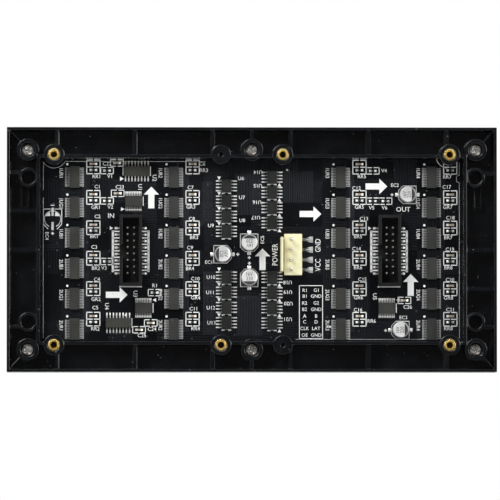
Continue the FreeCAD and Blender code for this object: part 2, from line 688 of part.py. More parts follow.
def build_passives():
    """Writes the cans, their bases and tabs, and the chip capacitors and resistors."""
    tabs = []
    for number, (place, quarter_turns) in enumerate(CANS, 1):
        can, base, can_tabs = can_capacitor(place, quarter_turns)
        write("capacitor_can_" + str(number), [can])
        write("capacitor_base_" + str(number), [base])
        tabs += can_tabs
    write("capacitor_tabs", tabs)
    uppers, lowers = cluster_places()
    chip_parts = {
        "ceramic_capacitors": (uppers + list(LONE_CERAMICS), CERAMIC_HEIGHT),
        "chip_resistors": (lowers + list(LONE_RESISTORS), RESISTOR_HEIGHT),
    }
    for name, (places, height) in chip_parts.items():
        write(name, [centred_block(place, CHIP_PART_LENGTH, CHIP_PART_WIDTH, 0, height) for place in places])


def build_sockets():
    """Writes both box headers and the power socket."""
    for name, place in (("input", HEADER_INPUT), ("output", HEADER_OUTPUT)):
        pins = header_pins(place)
        write(name + "_header_pins", pins)
        write(name + "_header_shroud", [header_shroud(place, pins)])
    pins = socket_pins()
    write("power_socket_pins", pins)
    write("power_socket_base", [socket_base(pins)])


def build():
    """Writes every node of the module."""
    os.makedirs("parts", exist_ok=True)
    write("led_mask", led_mask())
    write("led_packages", led_packages())
    write("circuit_board", [circuit_board()])
    write("rear_frame", [rear_frame()])
    write("frame_screws", [frame_screw(place) for place in SCREW_PLACES])
    write("threaded_inserts", [threaded_insert(place) for place in INSERT_PLACES])
    write("solder_nuts", [solder_nut(place) for place in SCREW_PLACES])
    build_chips()
    build_passives()
    build_sockets()


build()
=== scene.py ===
import logging
import math
from collections.abc import Sequence
from dataclasses import dataclass, field
from enum import Enum
from functools import lru_cache

import bmesh
import bpy
import numpy as np
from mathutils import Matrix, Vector


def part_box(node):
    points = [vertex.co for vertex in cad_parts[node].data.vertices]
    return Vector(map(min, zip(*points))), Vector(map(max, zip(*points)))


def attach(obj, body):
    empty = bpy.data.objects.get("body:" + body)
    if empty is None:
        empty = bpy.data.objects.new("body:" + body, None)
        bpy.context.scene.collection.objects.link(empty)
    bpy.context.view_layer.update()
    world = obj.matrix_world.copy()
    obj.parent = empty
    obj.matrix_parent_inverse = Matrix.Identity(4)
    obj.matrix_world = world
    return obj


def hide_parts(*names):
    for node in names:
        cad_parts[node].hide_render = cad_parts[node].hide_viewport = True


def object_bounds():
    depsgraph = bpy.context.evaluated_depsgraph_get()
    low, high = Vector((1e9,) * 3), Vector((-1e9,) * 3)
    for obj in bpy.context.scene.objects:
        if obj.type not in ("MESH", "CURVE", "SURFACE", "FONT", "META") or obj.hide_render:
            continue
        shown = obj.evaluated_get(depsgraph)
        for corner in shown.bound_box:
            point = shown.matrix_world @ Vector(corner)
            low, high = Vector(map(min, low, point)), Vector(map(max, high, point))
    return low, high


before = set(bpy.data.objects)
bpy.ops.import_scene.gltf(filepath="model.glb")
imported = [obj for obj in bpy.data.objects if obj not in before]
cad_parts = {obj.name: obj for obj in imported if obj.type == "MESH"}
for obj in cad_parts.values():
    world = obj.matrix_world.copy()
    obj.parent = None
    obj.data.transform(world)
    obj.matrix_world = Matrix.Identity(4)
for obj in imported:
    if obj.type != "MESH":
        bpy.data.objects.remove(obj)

CAD_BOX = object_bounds()
LOG = logging.getLogger("panel")

Pair = tuple[float, float]
Point = tuple[float, float, float]
Colour = tuple[float, float, float]
Path = Sequence[Pair] | np.ndarray
Socket = bpy.types.NodeSocket

# Sizes are in millimetres until a mesh is made. A place on the board is (across, along) from the panel's
# middle, and a height counts from the board's rear face towards the viewer of the wiring side.
MM = 0.001
BOARD_LOW, BOARD_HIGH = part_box("circuit_board")
REAR_FACE = BOARD_LOW.y / MM
MIDDLE = (BOARD_LOW.z + BOARD_HIGH.z) / 2 / MM
BOARD_THICKNESS = (BOARD_HIGH.y - BOARD_LOW.y) / MM
MASK_DEPTH = (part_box("led_mask")[1].y - BOARD_HIGH.y) / MM
HALF_WIDTH = CAD_BOX[1].x / MM
HALF_HEIGHT = (CAD_BOX[1].z - CAD_BOX[0].z) / 2 / MM

# Places that the pieces share with the solids
SCREW_PLACES = [(side * 87.7, edge * 39.1) for side in (-1, 0, 1) for edge in (-1, 1)]
CORNER_INSERTS = [(side * 77.5, edge * 37.3) for side in (-1, 1) for edge in (-1, 1)]
INSERT_PLACES = CORNER_INSERTS + [(12.1, 37.3), (-12.1, -37.3)]
DRIVER_COLUMNS = (-69.45, -30.5, 35.06, 70.75)
DRIVER_ROWS = tuple(28.75 - 11.95 * row for row in range(6))
SWITCH_STEP = 5.97
SWITCH_GROUPS = {
    "left_upper": (-9.8, 25.36),
    "left_lower": (-9.8, -10.44),
    "right_upper": (8.1, 28.78),
    "right_lower": (8.1, -10.6),
}
DECODERS = {"upper": (-45.0, 31.1), "lower": (-52.25, -28.5)}
BUFFERS = {"upper": (-46.3, 19.3), "lower": (-42.4, -22.6), "output": (53.1, -22.6)}
CLUSTERS = [(column + 7.4, row + 4.0) for column in DRIVER_COLUMNS for row in DRIVER_ROWS]
LONE_CERAMICS = ((-52.8, 34.3), (-52.5, 22.4), (-39.5, -28.5), (-44.1, -31.2), (60.1, -19.6))
LONE_RESISTORS = (
    (-56.7, 31.3), (-56.7, 19.4), (-56.7, -4.4), (-38.0, -16.6), (47.7, 31.3), (47.7, 19.4), (52.7, 19.4),
)
# The place of each can, and its quarter turns clockwise
CANS = (((-0.86, 3.02), 1), ((-0.86, -10.8), 3), ((-11.35, -1.53), 0), ((61.3, 21.9), 2), ((58.5, -31.25), 2))
HEADERS = {"input": (-47.4, -0.2), "output": (54.06, -0.2)}
HEADER_PITCH = 2.54
SOCKET = (16.3, -1.7)
SOCKET_PITCH = 3.96
SPARE_CAN = (-78.05, 12.29)

# How edges are drawn and broken, and the height of the font's capitals at size 1
CREASE_DEG = 35.0
BREAK_FROM_DEG = 40.0
WELD_REACH_M = 0.00005
FONT_CAPITAL = 0.71


# Surfaces


@dataclass
class Surface:
    """A closed surface in board places and heights, as points with quads and triangles over them."""

    points: np.ndarray
    quads: np.ndarray
    triangles: np.ndarray

    def outward(self) -> "Surface":
        """Turns the faces outwards, by the sign of the volume they close: the sum of a . (b x c).

        Returns:
            This surface, with every face turned over when that sum is negative.
        """
        corners = np.vstack([self.quads[:, [0, 1, 2]], self.quads[:, [0, 2, 3]], self.triangles])
        a, b, c = (self.points[corners[:, number]] - self.points[0] for number in range(3))
        if np.einsum("ij,ij->", a, np.cross(b, c)) < 0:
            self.quads = self.quads[:, ::-1]
            self.triangles = self.triangles[:, ::-1]
        return self

    def repeated(self, places: Path, turns: float = 0.0) -> "Surface":
        """Copies the surface to many places, as one array sum of every point with every place.

        Args:
            places: the (across, along) of each copy.
            turns: quarter turns anticlockwise, the same for all copies.

        Returns:
            One surface that holds all the copies.
        """
        angle = turns * math.pi / 2
        across = self.points[:, 0] * math.cos(angle) - self.points[:, 1] * math.sin(angle)
        along = self.points[:, 0] * math.sin(angle) + self.points[:, 1] * math.cos(angle)
        turned = np.stack([across, along, self.points[:, 2]], axis=-1)
        spots = np.array([(x, z, 0.0) for x, z in places])
        steps = np.arange(len(spots))[:, None, None] * len(turned)
        return Surface(
            (turned[None] + spots[:, None]).reshape(-1, 3),
            (self.quads[None] + steps).reshape(-1, 4),
            (self.triangles[None] + steps).reshape(-1, 3),
        )


def joined(surfaces: list[Surface]) -> Surface:
    """Puts several surfaces into one, each index moved up by the points before it.

    Args:
        surfaces: the surfaces to hold together.

    Returns:
        One surface.
    """
    steps = np.cumsum([0] + [len(surface.points) for surface in surfaces])
    return Surface(
        np.vstack([surface.points for surface in surfaces]),
        np.vstack([surface.quads + step for surface, step in zip(surfaces, steps)]),
        np.vstack([surface.triangles + step for surface, step in zip(surfaces, steps)]),
    )


def loft(rings: np.ndarray | list[np.ndarray], looped: bool = False) -> Surface:
    """Joins rings of points into a skin: point k of ring s meets point k of ring s + 1.

    Args:
        rings: rings x points x 3 numbers, all rings with the same number of points.
        looped: the last ring joins the first, as on a tube bent round. Otherwise a fan closes each end.

    Returns:
        A closed surface that faces outwards.
    """
    rings = np.asarray(rings, float)
    count, around = rings.shape[:2]
    here = np.arange(around)
    after = np.roll(here, -1)
    starts = np.arange(count if looped else count - 1)[:, None] * around
    nexts = (starts + around) % (count * around)
    quads = np.stack([starts + here, starts + after, nexts + after, nexts + here], axis=-1).reshape(-1, 4)
    points = rings.reshape(-1, 3)
    triangles = np.zeros((0, 3), int)
    if not looped:
        first = len(points)
        last = (count - 1) * around
        points = np.vstack([points, rings[[0, -1]].mean(axis=1)])
        low = np.stack([after, here, np.full(around, first)], axis=-1)
        high = np.stack([last + here, last + after, np.full(around, first + 1)], axis=-1)
        triangles = np.vstack([low, high])
    return Surface(points, quads, triangles).outward()


def full_turn(steps: int) -> np.ndarray:
    """Angles of equal steps round the circle."""
    return np.arange(steps) * math.tau / steps


def unit_circle(angle: np.ndarray) -> np.ndarray:
    """The places at these angles, one millimetre from the middle."""
    return np.stack([np.cos(angle), np.sin(angle)], axis=-1)


def round_rings(radius: np.ndarray, height: np.ndarray, segments: int) -> np.ndarray:
    """Rings round the panel's middle: (r cos t, r sin t, h) for t round the circle.

    Args:
        radius: one radius for each ring as a column, or a table of rings x segments.
        height: one height for each ring as a column.
        segments: points in each ring.

    Returns:
        Rings x segments x 3 numbers.
    """
    angle = full_turn(segments)
    levels = np.broadcast_to(height, (len(height), segments))
    return np.stack([radius * np.cos(angle), radius * np.sin(angle), levels], axis=-1)


def turned(profile: list[Pair], segments: int) -> Surface:
    """Revolves a profile of (radius, height) points, which runs from one end to the other.

    Args:
        profile: the points.
        segments: points in each circle.

    Returns:
        The closed surface, centred on the panel's middle.
    """
    radius, height = np.array(profile, float).T[:, :, None]
    return loft(round_rings(radius, height, segments))


def cut_corner_ring(half_across: float, half_along: float, cut: float) -> np.ndarray:
    """The eight corners of a rectangle whose corners are cut off at 45 degrees.

    Args:
        half_across: half the rectangle's size across.
        half_along: half its size along.
        cut: how much each corner loses on both its sides.

    Returns:
        An array of 8 x 2 places.
    """
    signs = np.array([(1, 1), (1, 1), (-1, 1), (-1, 1), (-1, -1), (-1, -1), (1, -1), (1, -1)], float)
    taken = np.array([(0, 1), (1, 0), (1, 0), (0, 1), (0, 1), (1, 0), (1, 0), (0, 1)], float) * cut
    return signs * (np.array([half_across, half_along]) - taken)


def at_height(outline: np.ndarray, height: float) -> np.ndarray:
    """The outline's places as points at one height."""
    return np.column_stack([outline, np.full(len(outline), height)])


def slab(outline: np.ndarray, low: float, high: float) -> Surface:
    """Raises an outline from one height to another: the same ring at both heights.

    Args:
        outline: places round a shape that its own centre can see all of.
        low: height of its foot.
        high: height of its top.

    Returns:
        The closed slab.
    """
    return loft([at_height(outline, height) for height in (low, high)])


def block(half_across: float, half_along: float, low: float, high: float, edge: float) -> Surface:
    """A block with every edge broken: four rings, the outer two drawn in by the edge.

    Args:
        half_across: half its size across.
        half_along: half its size along.
        low: height of its foot.
        high: height of its top.
        edge: size of the broken edge.

    Returns:
        The closed block, centred on the panel's middle.
    """
    levels = ((low, edge), (low + edge, 0), (high - edge, 0), (high, edge))
    return loft([
        at_height(cut_corner_ring(half_across - inset, half_along - inset, edge), height)
        for height, inset in levels
    ])


def rounded_path(corners: list[Pair], radius: float, steps: int) -> np.ndarray:
    """Rounds the corners c inside a path by curves: (1 - t)^2 a + 2t(1 - t) c + t^2 b.

    Args:
        corners: the path's corners, both ends included.
        radius: how far before and after a corner its curve begins and ends.
        steps: points on each curve.

    Returns:
        The rounded path as an array of points.
    """
    path = np.array(corners, float)
    middle = path[1:-1, None]
    before = path[:-2, None] - middle
    beyond = path[2:, None] - middle
    start = middle + before * radius / np.linalg.norm(before, axis=-1, keepdims=True)
    end = middle + beyond * radius / np.linalg.norm(beyond, axis=-1, keepdims=True)
    t = np.linspace(0, 1, steps)[None, :, None]
    curves = (1 - t) ** 2 * start + 2 * t * (1 - t) * middle + t ** 2 * end
    return np.vstack([path[:1], curves.reshape(-1, 2), path[-1:]])


def bar_along(path: np.ndarray, thickness: float | np.ndarray, width: float | np.ndarray) -> Surface:
    """Carries a rectangle along a path of (across, height).

    Each ring is the path's point plus or minus half the thickness along the path's normal, and half the
    width along the panel.

    Args:
        path: (across, height) points.
        thickness: thickness in the path's plane, one value or one for each point.
        width: width along the panel, one value or one for each point.

    Returns:
        The closed bar.
    """
    along_path = np.gradient(path, axis=0)
    along_path /= np.linalg.norm(along_path, axis=1, keepdims=True)
    normal = np.stack([-along_path[:, 1], along_path[:, 0]], axis=-1)
    half_thick = np.broadcast_to(np.asarray(thickness) / 2, len(path))[:, None]
    half_wide = np.broadcast_to(np.asarray(width) / 2, len(path))[:, None]
    sides = np.array([-1, 1, 1, -1])
    ends = np.array([-1, -1, 1, 1])
    across = path[:, :1] + normal[:, :1] * half_thick * sides
    height = path[:, 1:] + normal[:, 1:] * half_thick * sides
    return loft(np.stack([across, half_wide * ends, height], axis=-1))


def mound(stations: list[tuple[float, float, float]], lean: float = 0.35) -> Surface:
    """Solder that runs from a metal end down to its pad: a trapezoid at each station, narrower at its top.

    Args:
        stations: (across, half the width along, height) from the metal to the pad's end.
        lean: share of the half width that the top is drawn in.

    Returns:
        The closed mound.
    """
    across, half, height = np.array(stations, float).T
    rings = np.stack([
        np.stack([across, -half, np.zeros_like(across)], axis=-1),
        np.stack([across, half, np.zeros_like(across)], axis=-1),
        np.stack([across, half * (1 - lean), height], axis=-1),
        np.stack([across, -half * (1 - lean), height], axis=-1),
    ], axis=1)
    return loft(rings)


def mirrored(surface: Surface) -> list[Surface]:
    """The surface and its copy after a half turn about the panel's middle."""
    return [surface, surface.repeated([(0.0, 0.0)], turns=2)]


@lru_cache(maxsize=None)
def plain_letters(text: str) -> tuple[np.ndarray, np.ndarray]:
    """The text as closed slabs from 0 to 1, its middle on the origin and its capitals 1 high.

    Args:
        text: the words.

    Returns:
        Its points and its triangles.
    """
    curve = bpy.data.curves.new("lettering", "FONT")
    curve.body = text
    curve.resolution_u = 2
    curve.extrude = 0.5
    holder = bpy.data.objects.new("lettering", curve)
    mesh = bpy.data.meshes.new_from_object(holder)
    work = bmesh.new()
    work.from_mesh(mesh)
    bmesh.ops.remove_doubles(work, verts=work.verts, dist=1e-5)
    bmesh.ops.triangulate(work, faces=work.faces)
    bmesh.ops.recalc_face_normals(work, faces=work.faces)
    work.to_mesh(mesh)
    work.free()
    points = np.zeros(len(mesh.vertices) * 3, np.float32)
    mesh.vertices.foreach_get("co", points)
    corners = np.zeros(len(mesh.loops), np.int32)
    mesh.loops.foreach_get("vertex_index", corners)
    bpy.data.objects.remove(holder)
    bpy.data.curves.remove(curve)
    bpy.data.meshes.remove(mesh)
    points = points.reshape(-1, 3).astype(float)
    points -= (points.min(axis=0) + points.max(axis=0)) / 2
    points[:, :2] /= FONT_CAPITAL
    points[:, 2] += 0.5
    return points, corners.reshape(-1, 3).astype(int)


def letters(text: str, capital: float, narrow: float = 1.0) -> Surface:
    """Words at a size: the plain letters' points times (capital x narrow, capital, 1).

    Args:
        text: the words.
        capital: height of the capitals.
        narrow: width of the letters, as a share of the usual one.

    Returns:
        Their surface, 0 to 1 thick.
    """
    points, triangles = plain_letters(text)
    return Surface(points * np.array([capital * narrow, capital, 1.0]), np.zeros((0, 4), int), triangles)


# Finishes


class Coating(Enum):
    """How a finish varies over its surface."""

    MOULDED = "moulded"
    METAL = "metal"
    PRINT = "print"


class Nodes:
    """Short ways to add and join the nodes of one tree."""

    def __init__(self, tree: bpy.types.NodeTree) -> None:
        """Starts with an empty tree."""
        self.tree = tree
        tree.nodes.clear()

    def feed(self, socket: Socket, value: object) -> None:
        """Links a socket to another, or sets its value."""
        if isinstance(value, Socket):
            self.tree.links.new(value, socket)
        else:
            socket.default_value = value

    def add(self, kind: str, settings: dict[str, object] | None = None, **inputs: object) -> bpy.types.Node:
        """Adds a node.

        Args:
            kind: the node's type, without its first words ShaderNode.
            settings: its properties.
            inputs: its inputs by name, with _ for a space.

        Returns:
            The node.
        """
        node = self.tree.nodes.new("ShaderNode" + kind)
        for name, value in (settings or {}).items():
            setattr(node, name, value)
        for name, value in inputs.items():
            self.feed(node.inputs[name.replace("_", " ")], value)
        return node

    def math(self, operation: str, *values: object) -> Socket:
        """One sum of the Math node."""
        node = self.add("Math", {"operation": operation})
        for socket, value in zip(node.inputs, values):
            self.feed(socket, value)
        return node.outputs[0]

    def noise(self, place: Socket, scale: object, detail: float) -> Socket:
        """Noise at a scale of so many waves a metre."""
        return self.add("TexNoise", Vector=place, Scale=scale, Detail=detail).outputs["Fac"]

    def span(
        self, value: object, low: object, high: object, start: object = 0.0, end: object = 1.0
    ) -> Socket:
        """Maps a value from start...end to low...high and stops at both."""
        node = self.add("MapRange", Value=value, From_Min=start, From_Max=end, To_Min=low, To_Max=high)
        return node.outputs["Result"]

    def blend(self, share: object, first: object, second: object) -> Socket:
        """Mixes two colours."""
        node = self.add("Mix", {"data_type": "RGBA"})
        for number, value in ((0, share), (6, first), (7, second)):
            self.feed(node.inputs[number], value)
        return node.outputs[2]

    def mix(self, share: object, first: Socket, second: Socket) -> Socket:
        """Mixes two shaders."""
        node = self.add("MixShader", Fac=share)
        self.feed(node.inputs[1], first)
        self.feed(node.inputs[2], second)
        return node.outputs["Shader"]

    def group(self, tree: bpy.types.NodeTree, **inputs: object) -> bpy.types.Node:
        """Adds a node group."""
        return self.add("Group", {"node_tree": tree}, **inputs)


class Effects:
    """Node groups that several finishes use. Each is built once."""

    BUNDLE_SIZES = ("Left", "Right", "Low", "High", "Pitch")

    @staticmethod
    def start(
        name: str, inputs: tuple[str, ...], outputs: tuple[str, ...]
    ) -> tuple[Nodes, dict[str, Socket], bpy.types.Node]:
        """Opens a new group.

        Args:
            name: the group's name.
            inputs: names of its number inputs, after the vector.
            outputs: names of its number outputs.

        Returns:
            Its nodes, its input sockets by name, and its output node.
        """
        tree = bpy.data.node_groups.new(name, "ShaderNodeTree")
        tree.interface.new_socket("Vector", in_out="INPUT", socket_type="NodeSocketVector")
        for socket in inputs:
            tree.interface.new_socket(socket, in_out="INPUT", socket_type="NodeSocketFloat")
        for socket in outputs:
            tree.interface.new_socket(socket, in_out="OUTPUT", socket_type="NodeSocketFloat")
        nodes = Nodes(tree)
        entry = tree.nodes.new("NodeGroupInput")
        leave = tree.nodes.new("NodeGroupOutput")
        return nodes, {socket.name: socket for socket in entry.outputs if socket.name}, leave

    @staticmethod
    def stripes(nodes: Nodes, place: Socket, pitch: Socket, half_share: float) -> Socket:
        """Tracks at a pitch: 1 where the place's share of the pitch is near enough to a half."""
        beat = nodes.math("FRACT", nodes.math("DIVIDE", place, pitch))
        return nodes.math("LESS_THAN", nodes.math("ABSOLUTE", nodes.math("SUBTRACT", beat, 0.5)), half_share)

    @classmethod
    @lru_cache(maxsize=None)
    def grain(cls) -> bpy.types.NodeTree:
        """Moulded or cast grain. Tone is a slow blotch from 0 to 1, Height a fine pebble."""
        nodes, given, leave = cls.start("surface_grain", ("Fine", "Coarse"), ("Tone", "Height"))
        slow = nodes.noise(given["Vector"], given["Coarse"], 4.0)
        fine = nodes.noise(given["Vector"], given["Fine"], 3.0)
        nodes.feed(leave.inputs["Tone"], nodes.span(slow, 0.0, 1.0, 0.32, 0.68))
        nodes.feed(leave.inputs["Height"], fine)
        return nodes.tree

    @classmethod
    @lru_cache(maxsize=None)
    def drawn(cls) -> bpy.types.NodeTree:
        """Drawn or plated metal: fine lines along the panel under a slow stain."""
        nodes, given, leave = cls.start("drawn_metal", ("Fine", "Coarse"), ("Tone", "Height"))
        pulled = nodes.add("Mapping", Vector=given["Vector"], Scale=(1.0, 1.0, 0.12)).outputs["Vector"]
        lines = nodes.noise(pulled, given["Fine"], 2.0)
        stain = nodes.noise(given["Vector"], given["Coarse"], 3.0)
        nodes.feed(leave.inputs["Tone"], nodes.span(stain, 0.0, 1.0, 0.3, 0.7))
        nodes.feed(leave.inputs["Height"], lines)
        return nodes.tree

    @classmethod
    @lru_cache(maxsize=None)
    def specks(cls) -> bpy.types.NodeTree:
        """Dust and pinholes: a mask of small round specks, some of them left out."""
        nodes, given, leave = cls.start("specks", ("Scale", "Share"), ("Mask",))
        cells = nodes.add("TexVoronoi", Vector=given["Vector"], Scale=given["Scale"])
        near = nodes.math("LESS_THAN", cells.outputs["Distance"], 0.16)
        pick = nodes.add("SeparateColor", Color=cells.outputs["Color"]).outputs[0]
        kept = nodes.math("LESS_THAN", pick, given["Share"])
        nodes.feed(leave.inputs["Mask"], nodes.math("MULTIPLY", near, kept))
        return nodes.tree

    @classmethod
    @lru_cache(maxsize=None)
    def routed(cls) -> bpy.types.NodeTree:
        """Tracks over the whole board, in square fields: upright ones, level ones or none, by a draw."""
        nodes, given, leave = cls.start("routed_fields", ("Field", "Pitch"), ("Mask",))
        spot = nodes.add("SeparateXYZ", Vector=given["Vector"])
        level = nodes.math("FLOOR", nodes.math("DIVIDE", spot.outputs["X"], given["Field"]))
        upright = nodes.math("FLOOR", nodes.math("DIVIDE", spot.outputs["Z"], given["Field"]))
        seed = nodes.add("CombineXYZ", X=level, Y=upright).outputs["Vector"]
        draw = nodes.add("TexWhiteNoise", Vector=seed).outputs["Value"]
        masks = []
        for axis, low, high in (("X", 0.0, 0.32), ("Z", 0.32, 0.62)):
            line = cls.stripes(nodes, spot.outputs[axis], given["Pitch"], 0.2)
            chosen = nodes.math("COMPARE", draw, (low + high) / 2, (high - low) / 2)
            masks.append(nodes.math("MULTIPLY", line, chosen))
        nodes.feed(leave.inputs["Mask"], nodes.math("MAXIMUM", *masks))
        return nodes.tree

    @classmethod
    @lru_cache(maxsize=None)
    def tracks(cls) -> bpy.types.NodeTree:
        """A bundle of straight tracks between four sides: 1 on a track, 0 elsewhere. Lengths in metres."""
        nodes, given, leave = cls.start("track_bundle", cls.BUNDLE_SIZES, ("Mask",))
        spot = nodes.add("SeparateXYZ", Vector=given["Vector"])
        mask = cls.stripes(nodes, spot.outputs["X"], given["Pitch"], 0.22)
        for axis, low, high in (("X", "Left", "Right"), ("Z", "Low", "High")):
            mask = nodes.math("MULTIPLY", mask, nodes.math("GREATER_THAN", spot.outputs[axis], given[low]))
            mask = nodes.math("MULTIPLY", mask, nodes.math("LESS_THAN", spot.outputs[axis], given[high]))
        nodes.feed(leave.inputs["Mask"], mask)
        return nodes.tree


@dataclass(frozen=True)
class Finish:
    """One procedural finish. Scales are in waves a metre, relief is in metres."""

    name: str
    colour: Colour
    shade: Colour
    roughness: Pair
    coating: Coating = Coating.MOULDED
    metallic: float = 0.0
    specular: float = 0.5
    fine: float = 4500.0
    coarse: float = 160.0
    relief: float = 0.00001
    dust: float = 0.0
    slot: str = ""

    def paint(self, nodes: Nodes, place: Socket) -> tuple[Socket, Socket, Socket]:
        """Works out what changes over the surface.

        Args:
            nodes: the material's nodes.
            place: the point's place on the object.

        Returns:
            Colour, roughness and height.
        """
        tree = Effects.drawn() if self.coating is Coating.METAL else Effects.grain()
        base = nodes.group(tree, Vector=place, Fine=self.fine, Coarse=self.coarse)
        tone = base.outputs["Tone"]
        colour = nodes.blend(tone, (*self.colour, 1.0), (*self.shade, 1.0))
        roughness = nodes.span(tone, self.roughness[0], self.roughness[1])
        if self.dust:
            mask = nodes.group(Effects.specks(), Vector=place, Scale=900.0, Share=self.dust).outputs["Mask"]
            speck = (0.3, 0.3, 0.29, 1.0) if self.coating is not Coating.PRINT else (0.05, 0.05, 0.05, 1.0)
            colour = nodes.blend(nodes.math("MULTIPLY", mask, 0.5), colour, speck)
            roughness = nodes.math("MAXIMUM", roughness, nodes.math("MULTIPLY", mask, 0.8))
        return colour, roughness, base.outputs["Height"]

    @lru_cache(maxsize=None)
    def material(self) -> bpy.types.Material:
        """Builds the material, once for each finish.

        Returns:
            The material with its nodes.
        """
        made = bpy.data.materials.new(self.name + "_finish")
        made.use_nodes = True
        nodes = Nodes(made.node_tree)
        place = nodes.add("TexCoord").outputs["Object"]
        colour, roughness, height = self.paint(nodes, place)
        bump = nodes.add("Bump", Height=height, Distance=self.relief, Strength=1.0)
        shader = nodes.add(
            "BsdfPrincipled", Base_Color=colour, Roughness=roughness, Normal=bump.outputs["Normal"],
            Metallic=self.metallic, Specular_IOR_Level=self.specular,
        )
        nodes.add("OutputMaterial", Surface=shader.outputs["BSDF"])
        return made


@dataclass(frozen=True)
class MetalFinish(Finish):
    """Drawn or plated metal."""

    coating: Coating = Coating.METAL
    metallic: float = 1.0


@dataclass(frozen=True)
class SolderFinish(MetalFinish):
    """Reflowed solder, with coarser lines and quicker stains than drawn metal."""

    fine: float = 3000.0
    coarse: float = 900.0
    slot: str = "solder"


@dataclass(frozen=True)
class ResinFinish(Finish):
    """Moulded resin of the chips, finely grained and a little dusty."""

    specular: float = 0.3
    fine: float = 6000.0
    relief: float = 0.000008
    dust: float = 0.02
    slot: str = "chip_resin"


@dataclass(frozen=True)
class BoardFinish(Finish):
    """Black solder mask over copper: track bundles, finer tracks, vias and the laminate's weave.

    A bundle is its left, right, low and high side and its pitch, in millimetres.
    """

    bundles: tuple[tuple[float, float, float, float, float], ...] = (
        (-19.5, -12.6, 11.0, 27.0, 0.55), (-19.0, -13.4, -33.0, -8.5, 0.5), (-6.2, 4.6, 14.0, 30.0, 0.6),
        (-6.0, 4.4, -33.5, -18.0, 0.6), (12.4, 24.0, 19.0, 31.0, 0.9), (-66.0, -63.6, -32.0, 31.0, 0.5),
        (-27.0, -24.6, -32.0, 31.0, 0.5), (38.6, 40.6, -32.0, 31.0, 0.5), (73.9, 75.9, -32.0, 31.0, 0.5),
    )
    field_size: float = 0.0093
    field_pitch: float = 0.00062
    via_scale: float = 340.0
    via_share: float = 0.16
    weave_scale: float = 700.0
    copper_tint: Colour = (0.024, 0.027, 0.034)
    ring_tint: Colour = (0.06, 0.06, 0.065)

    def paint(self, nodes: Nodes, place: Socket) -> tuple[Socket, Socket, Socket]:
        """Works out colour, roughness and height of the printed board."""
        colour, roughness, grain = super().paint(nodes, place)
        raised = nodes.add("Mapping", Vector=place, Location=(0.0, 0.0, -MIDDLE * MM)).outputs["Vector"]
        fields = nodes.group(Effects.routed(), Vector=raised, Field=self.field_size, Pitch=self.field_pitch)
        copper = nodes.math("MULTIPLY", fields.outputs["Mask"], 0.45)
        for bundle in self.bundles:
            sizes = {name: size * MM for name, size in zip(Effects.BUNDLE_SIZES, bundle)}
            mask = nodes.group(Effects.tracks(), Vector=raised, **sizes).outputs["Mask"]
            copper = nodes.math("MAXIMUM", copper, mask)
        vias = nodes.add("TexVoronoi", Vector=raised, Scale=self.via_scale)
        pick = nodes.add("SeparateColor", Color=vias.outputs["Color"]).outputs[0]
        ring = nodes.math("COMPARE", vias.outputs["Distance"], 0.1, 0.045)
        ring = nodes.math("MULTIPLY", ring, nodes.math("LESS_THAN", pick, self.via_share))
        colour = nodes.blend(nodes.math("MULTIPLY", copper, 0.6), colour, (*self.copper_tint, 1.0))
        colour = nodes.blend(nodes.math("MULTIPLY", ring, 0.5), colour, (*self.ring_tint, 1.0))
        weave = nodes.add("TexBrick", Vector=raised, Scale=self.weave_scale, Mortar_Size=0.08).outputs["Fac"]
        height = nodes.math("ADD", nodes.math("MULTIPLY", copper, 0.6), nodes.math("MULTIPLY", ring, 0.5))
        height = nodes.math("ADD", height, nodes.math("MULTIPLY", weave, 0.05))
        height = nodes.math("ADD", height, nodes.math("MULTIPLY", grain, 0.05))
        return colour, roughness, height


@dataclass(frozen=True)
class LampFinish(Finish):
    """White lamp package: inside its round cup a milky lens over three small dies, at the pixel pitch."""

    pitch: float = 3.0
    cup: float = 0.8
    die_half: float = 0.13
    lens: Colour = (0.62, 0.63, 0.58)
    dies: tuple[tuple[float, Colour], ...] = (
        (0.36, (0.35, 0.04, 0.03)), (0.0, (0.05, 0.3, 0.12)), (-0.36, (0.05, 0.12, 0.4)),
    )

    def paint(self, nodes: Nodes, place: Socket) -> tuple[Socket, Socket, Socket]:
        """Works out colour, roughness and height of the lamps, with the place taken within each pixel."""
        colour, roughness, grain = super().paint(nodes, place)
        spot = nodes.add("SeparateXYZ", Vector=place)
        lift = nodes.math("SUBTRACT", spot.outputs["Z"], MIDDLE * MM)
        offsets = []
        for value in (spot.outputs["X"], lift):
            cells = nodes.math("FRACT", nodes.math("DIVIDE", value, self.pitch * MM))
            offsets.append(nodes.math("MULTIPLY", nodes.math("SUBTRACT", cells, 0.5), self.pitch))
        square = [nodes.math("MULTIPLY", value, value) for value in offsets]
        radius = nodes.math("SQRT", nodes.math("ADD", square[0], square[1]))
        inside = nodes.math("LESS_THAN", radius, self.cup)
        colour = nodes.blend(inside, colour, (*self.lens, 1.0))
        near_middle = nodes.math("COMPARE", offsets[0], 0.0, self.die_half)
        for level, tint in self.dies:
            near_level = nodes.math("COMPARE", offsets[1], level, self.die_half)
            colour = nodes.blend(nodes.math("MULTIPLY", near_middle, near_level), colour, (*tint, 1.0))
        roughness = nodes.math("SUBTRACT", roughness, nodes.math("MULTIPLY", inside, 0.2))
        return colour, roughness, grain


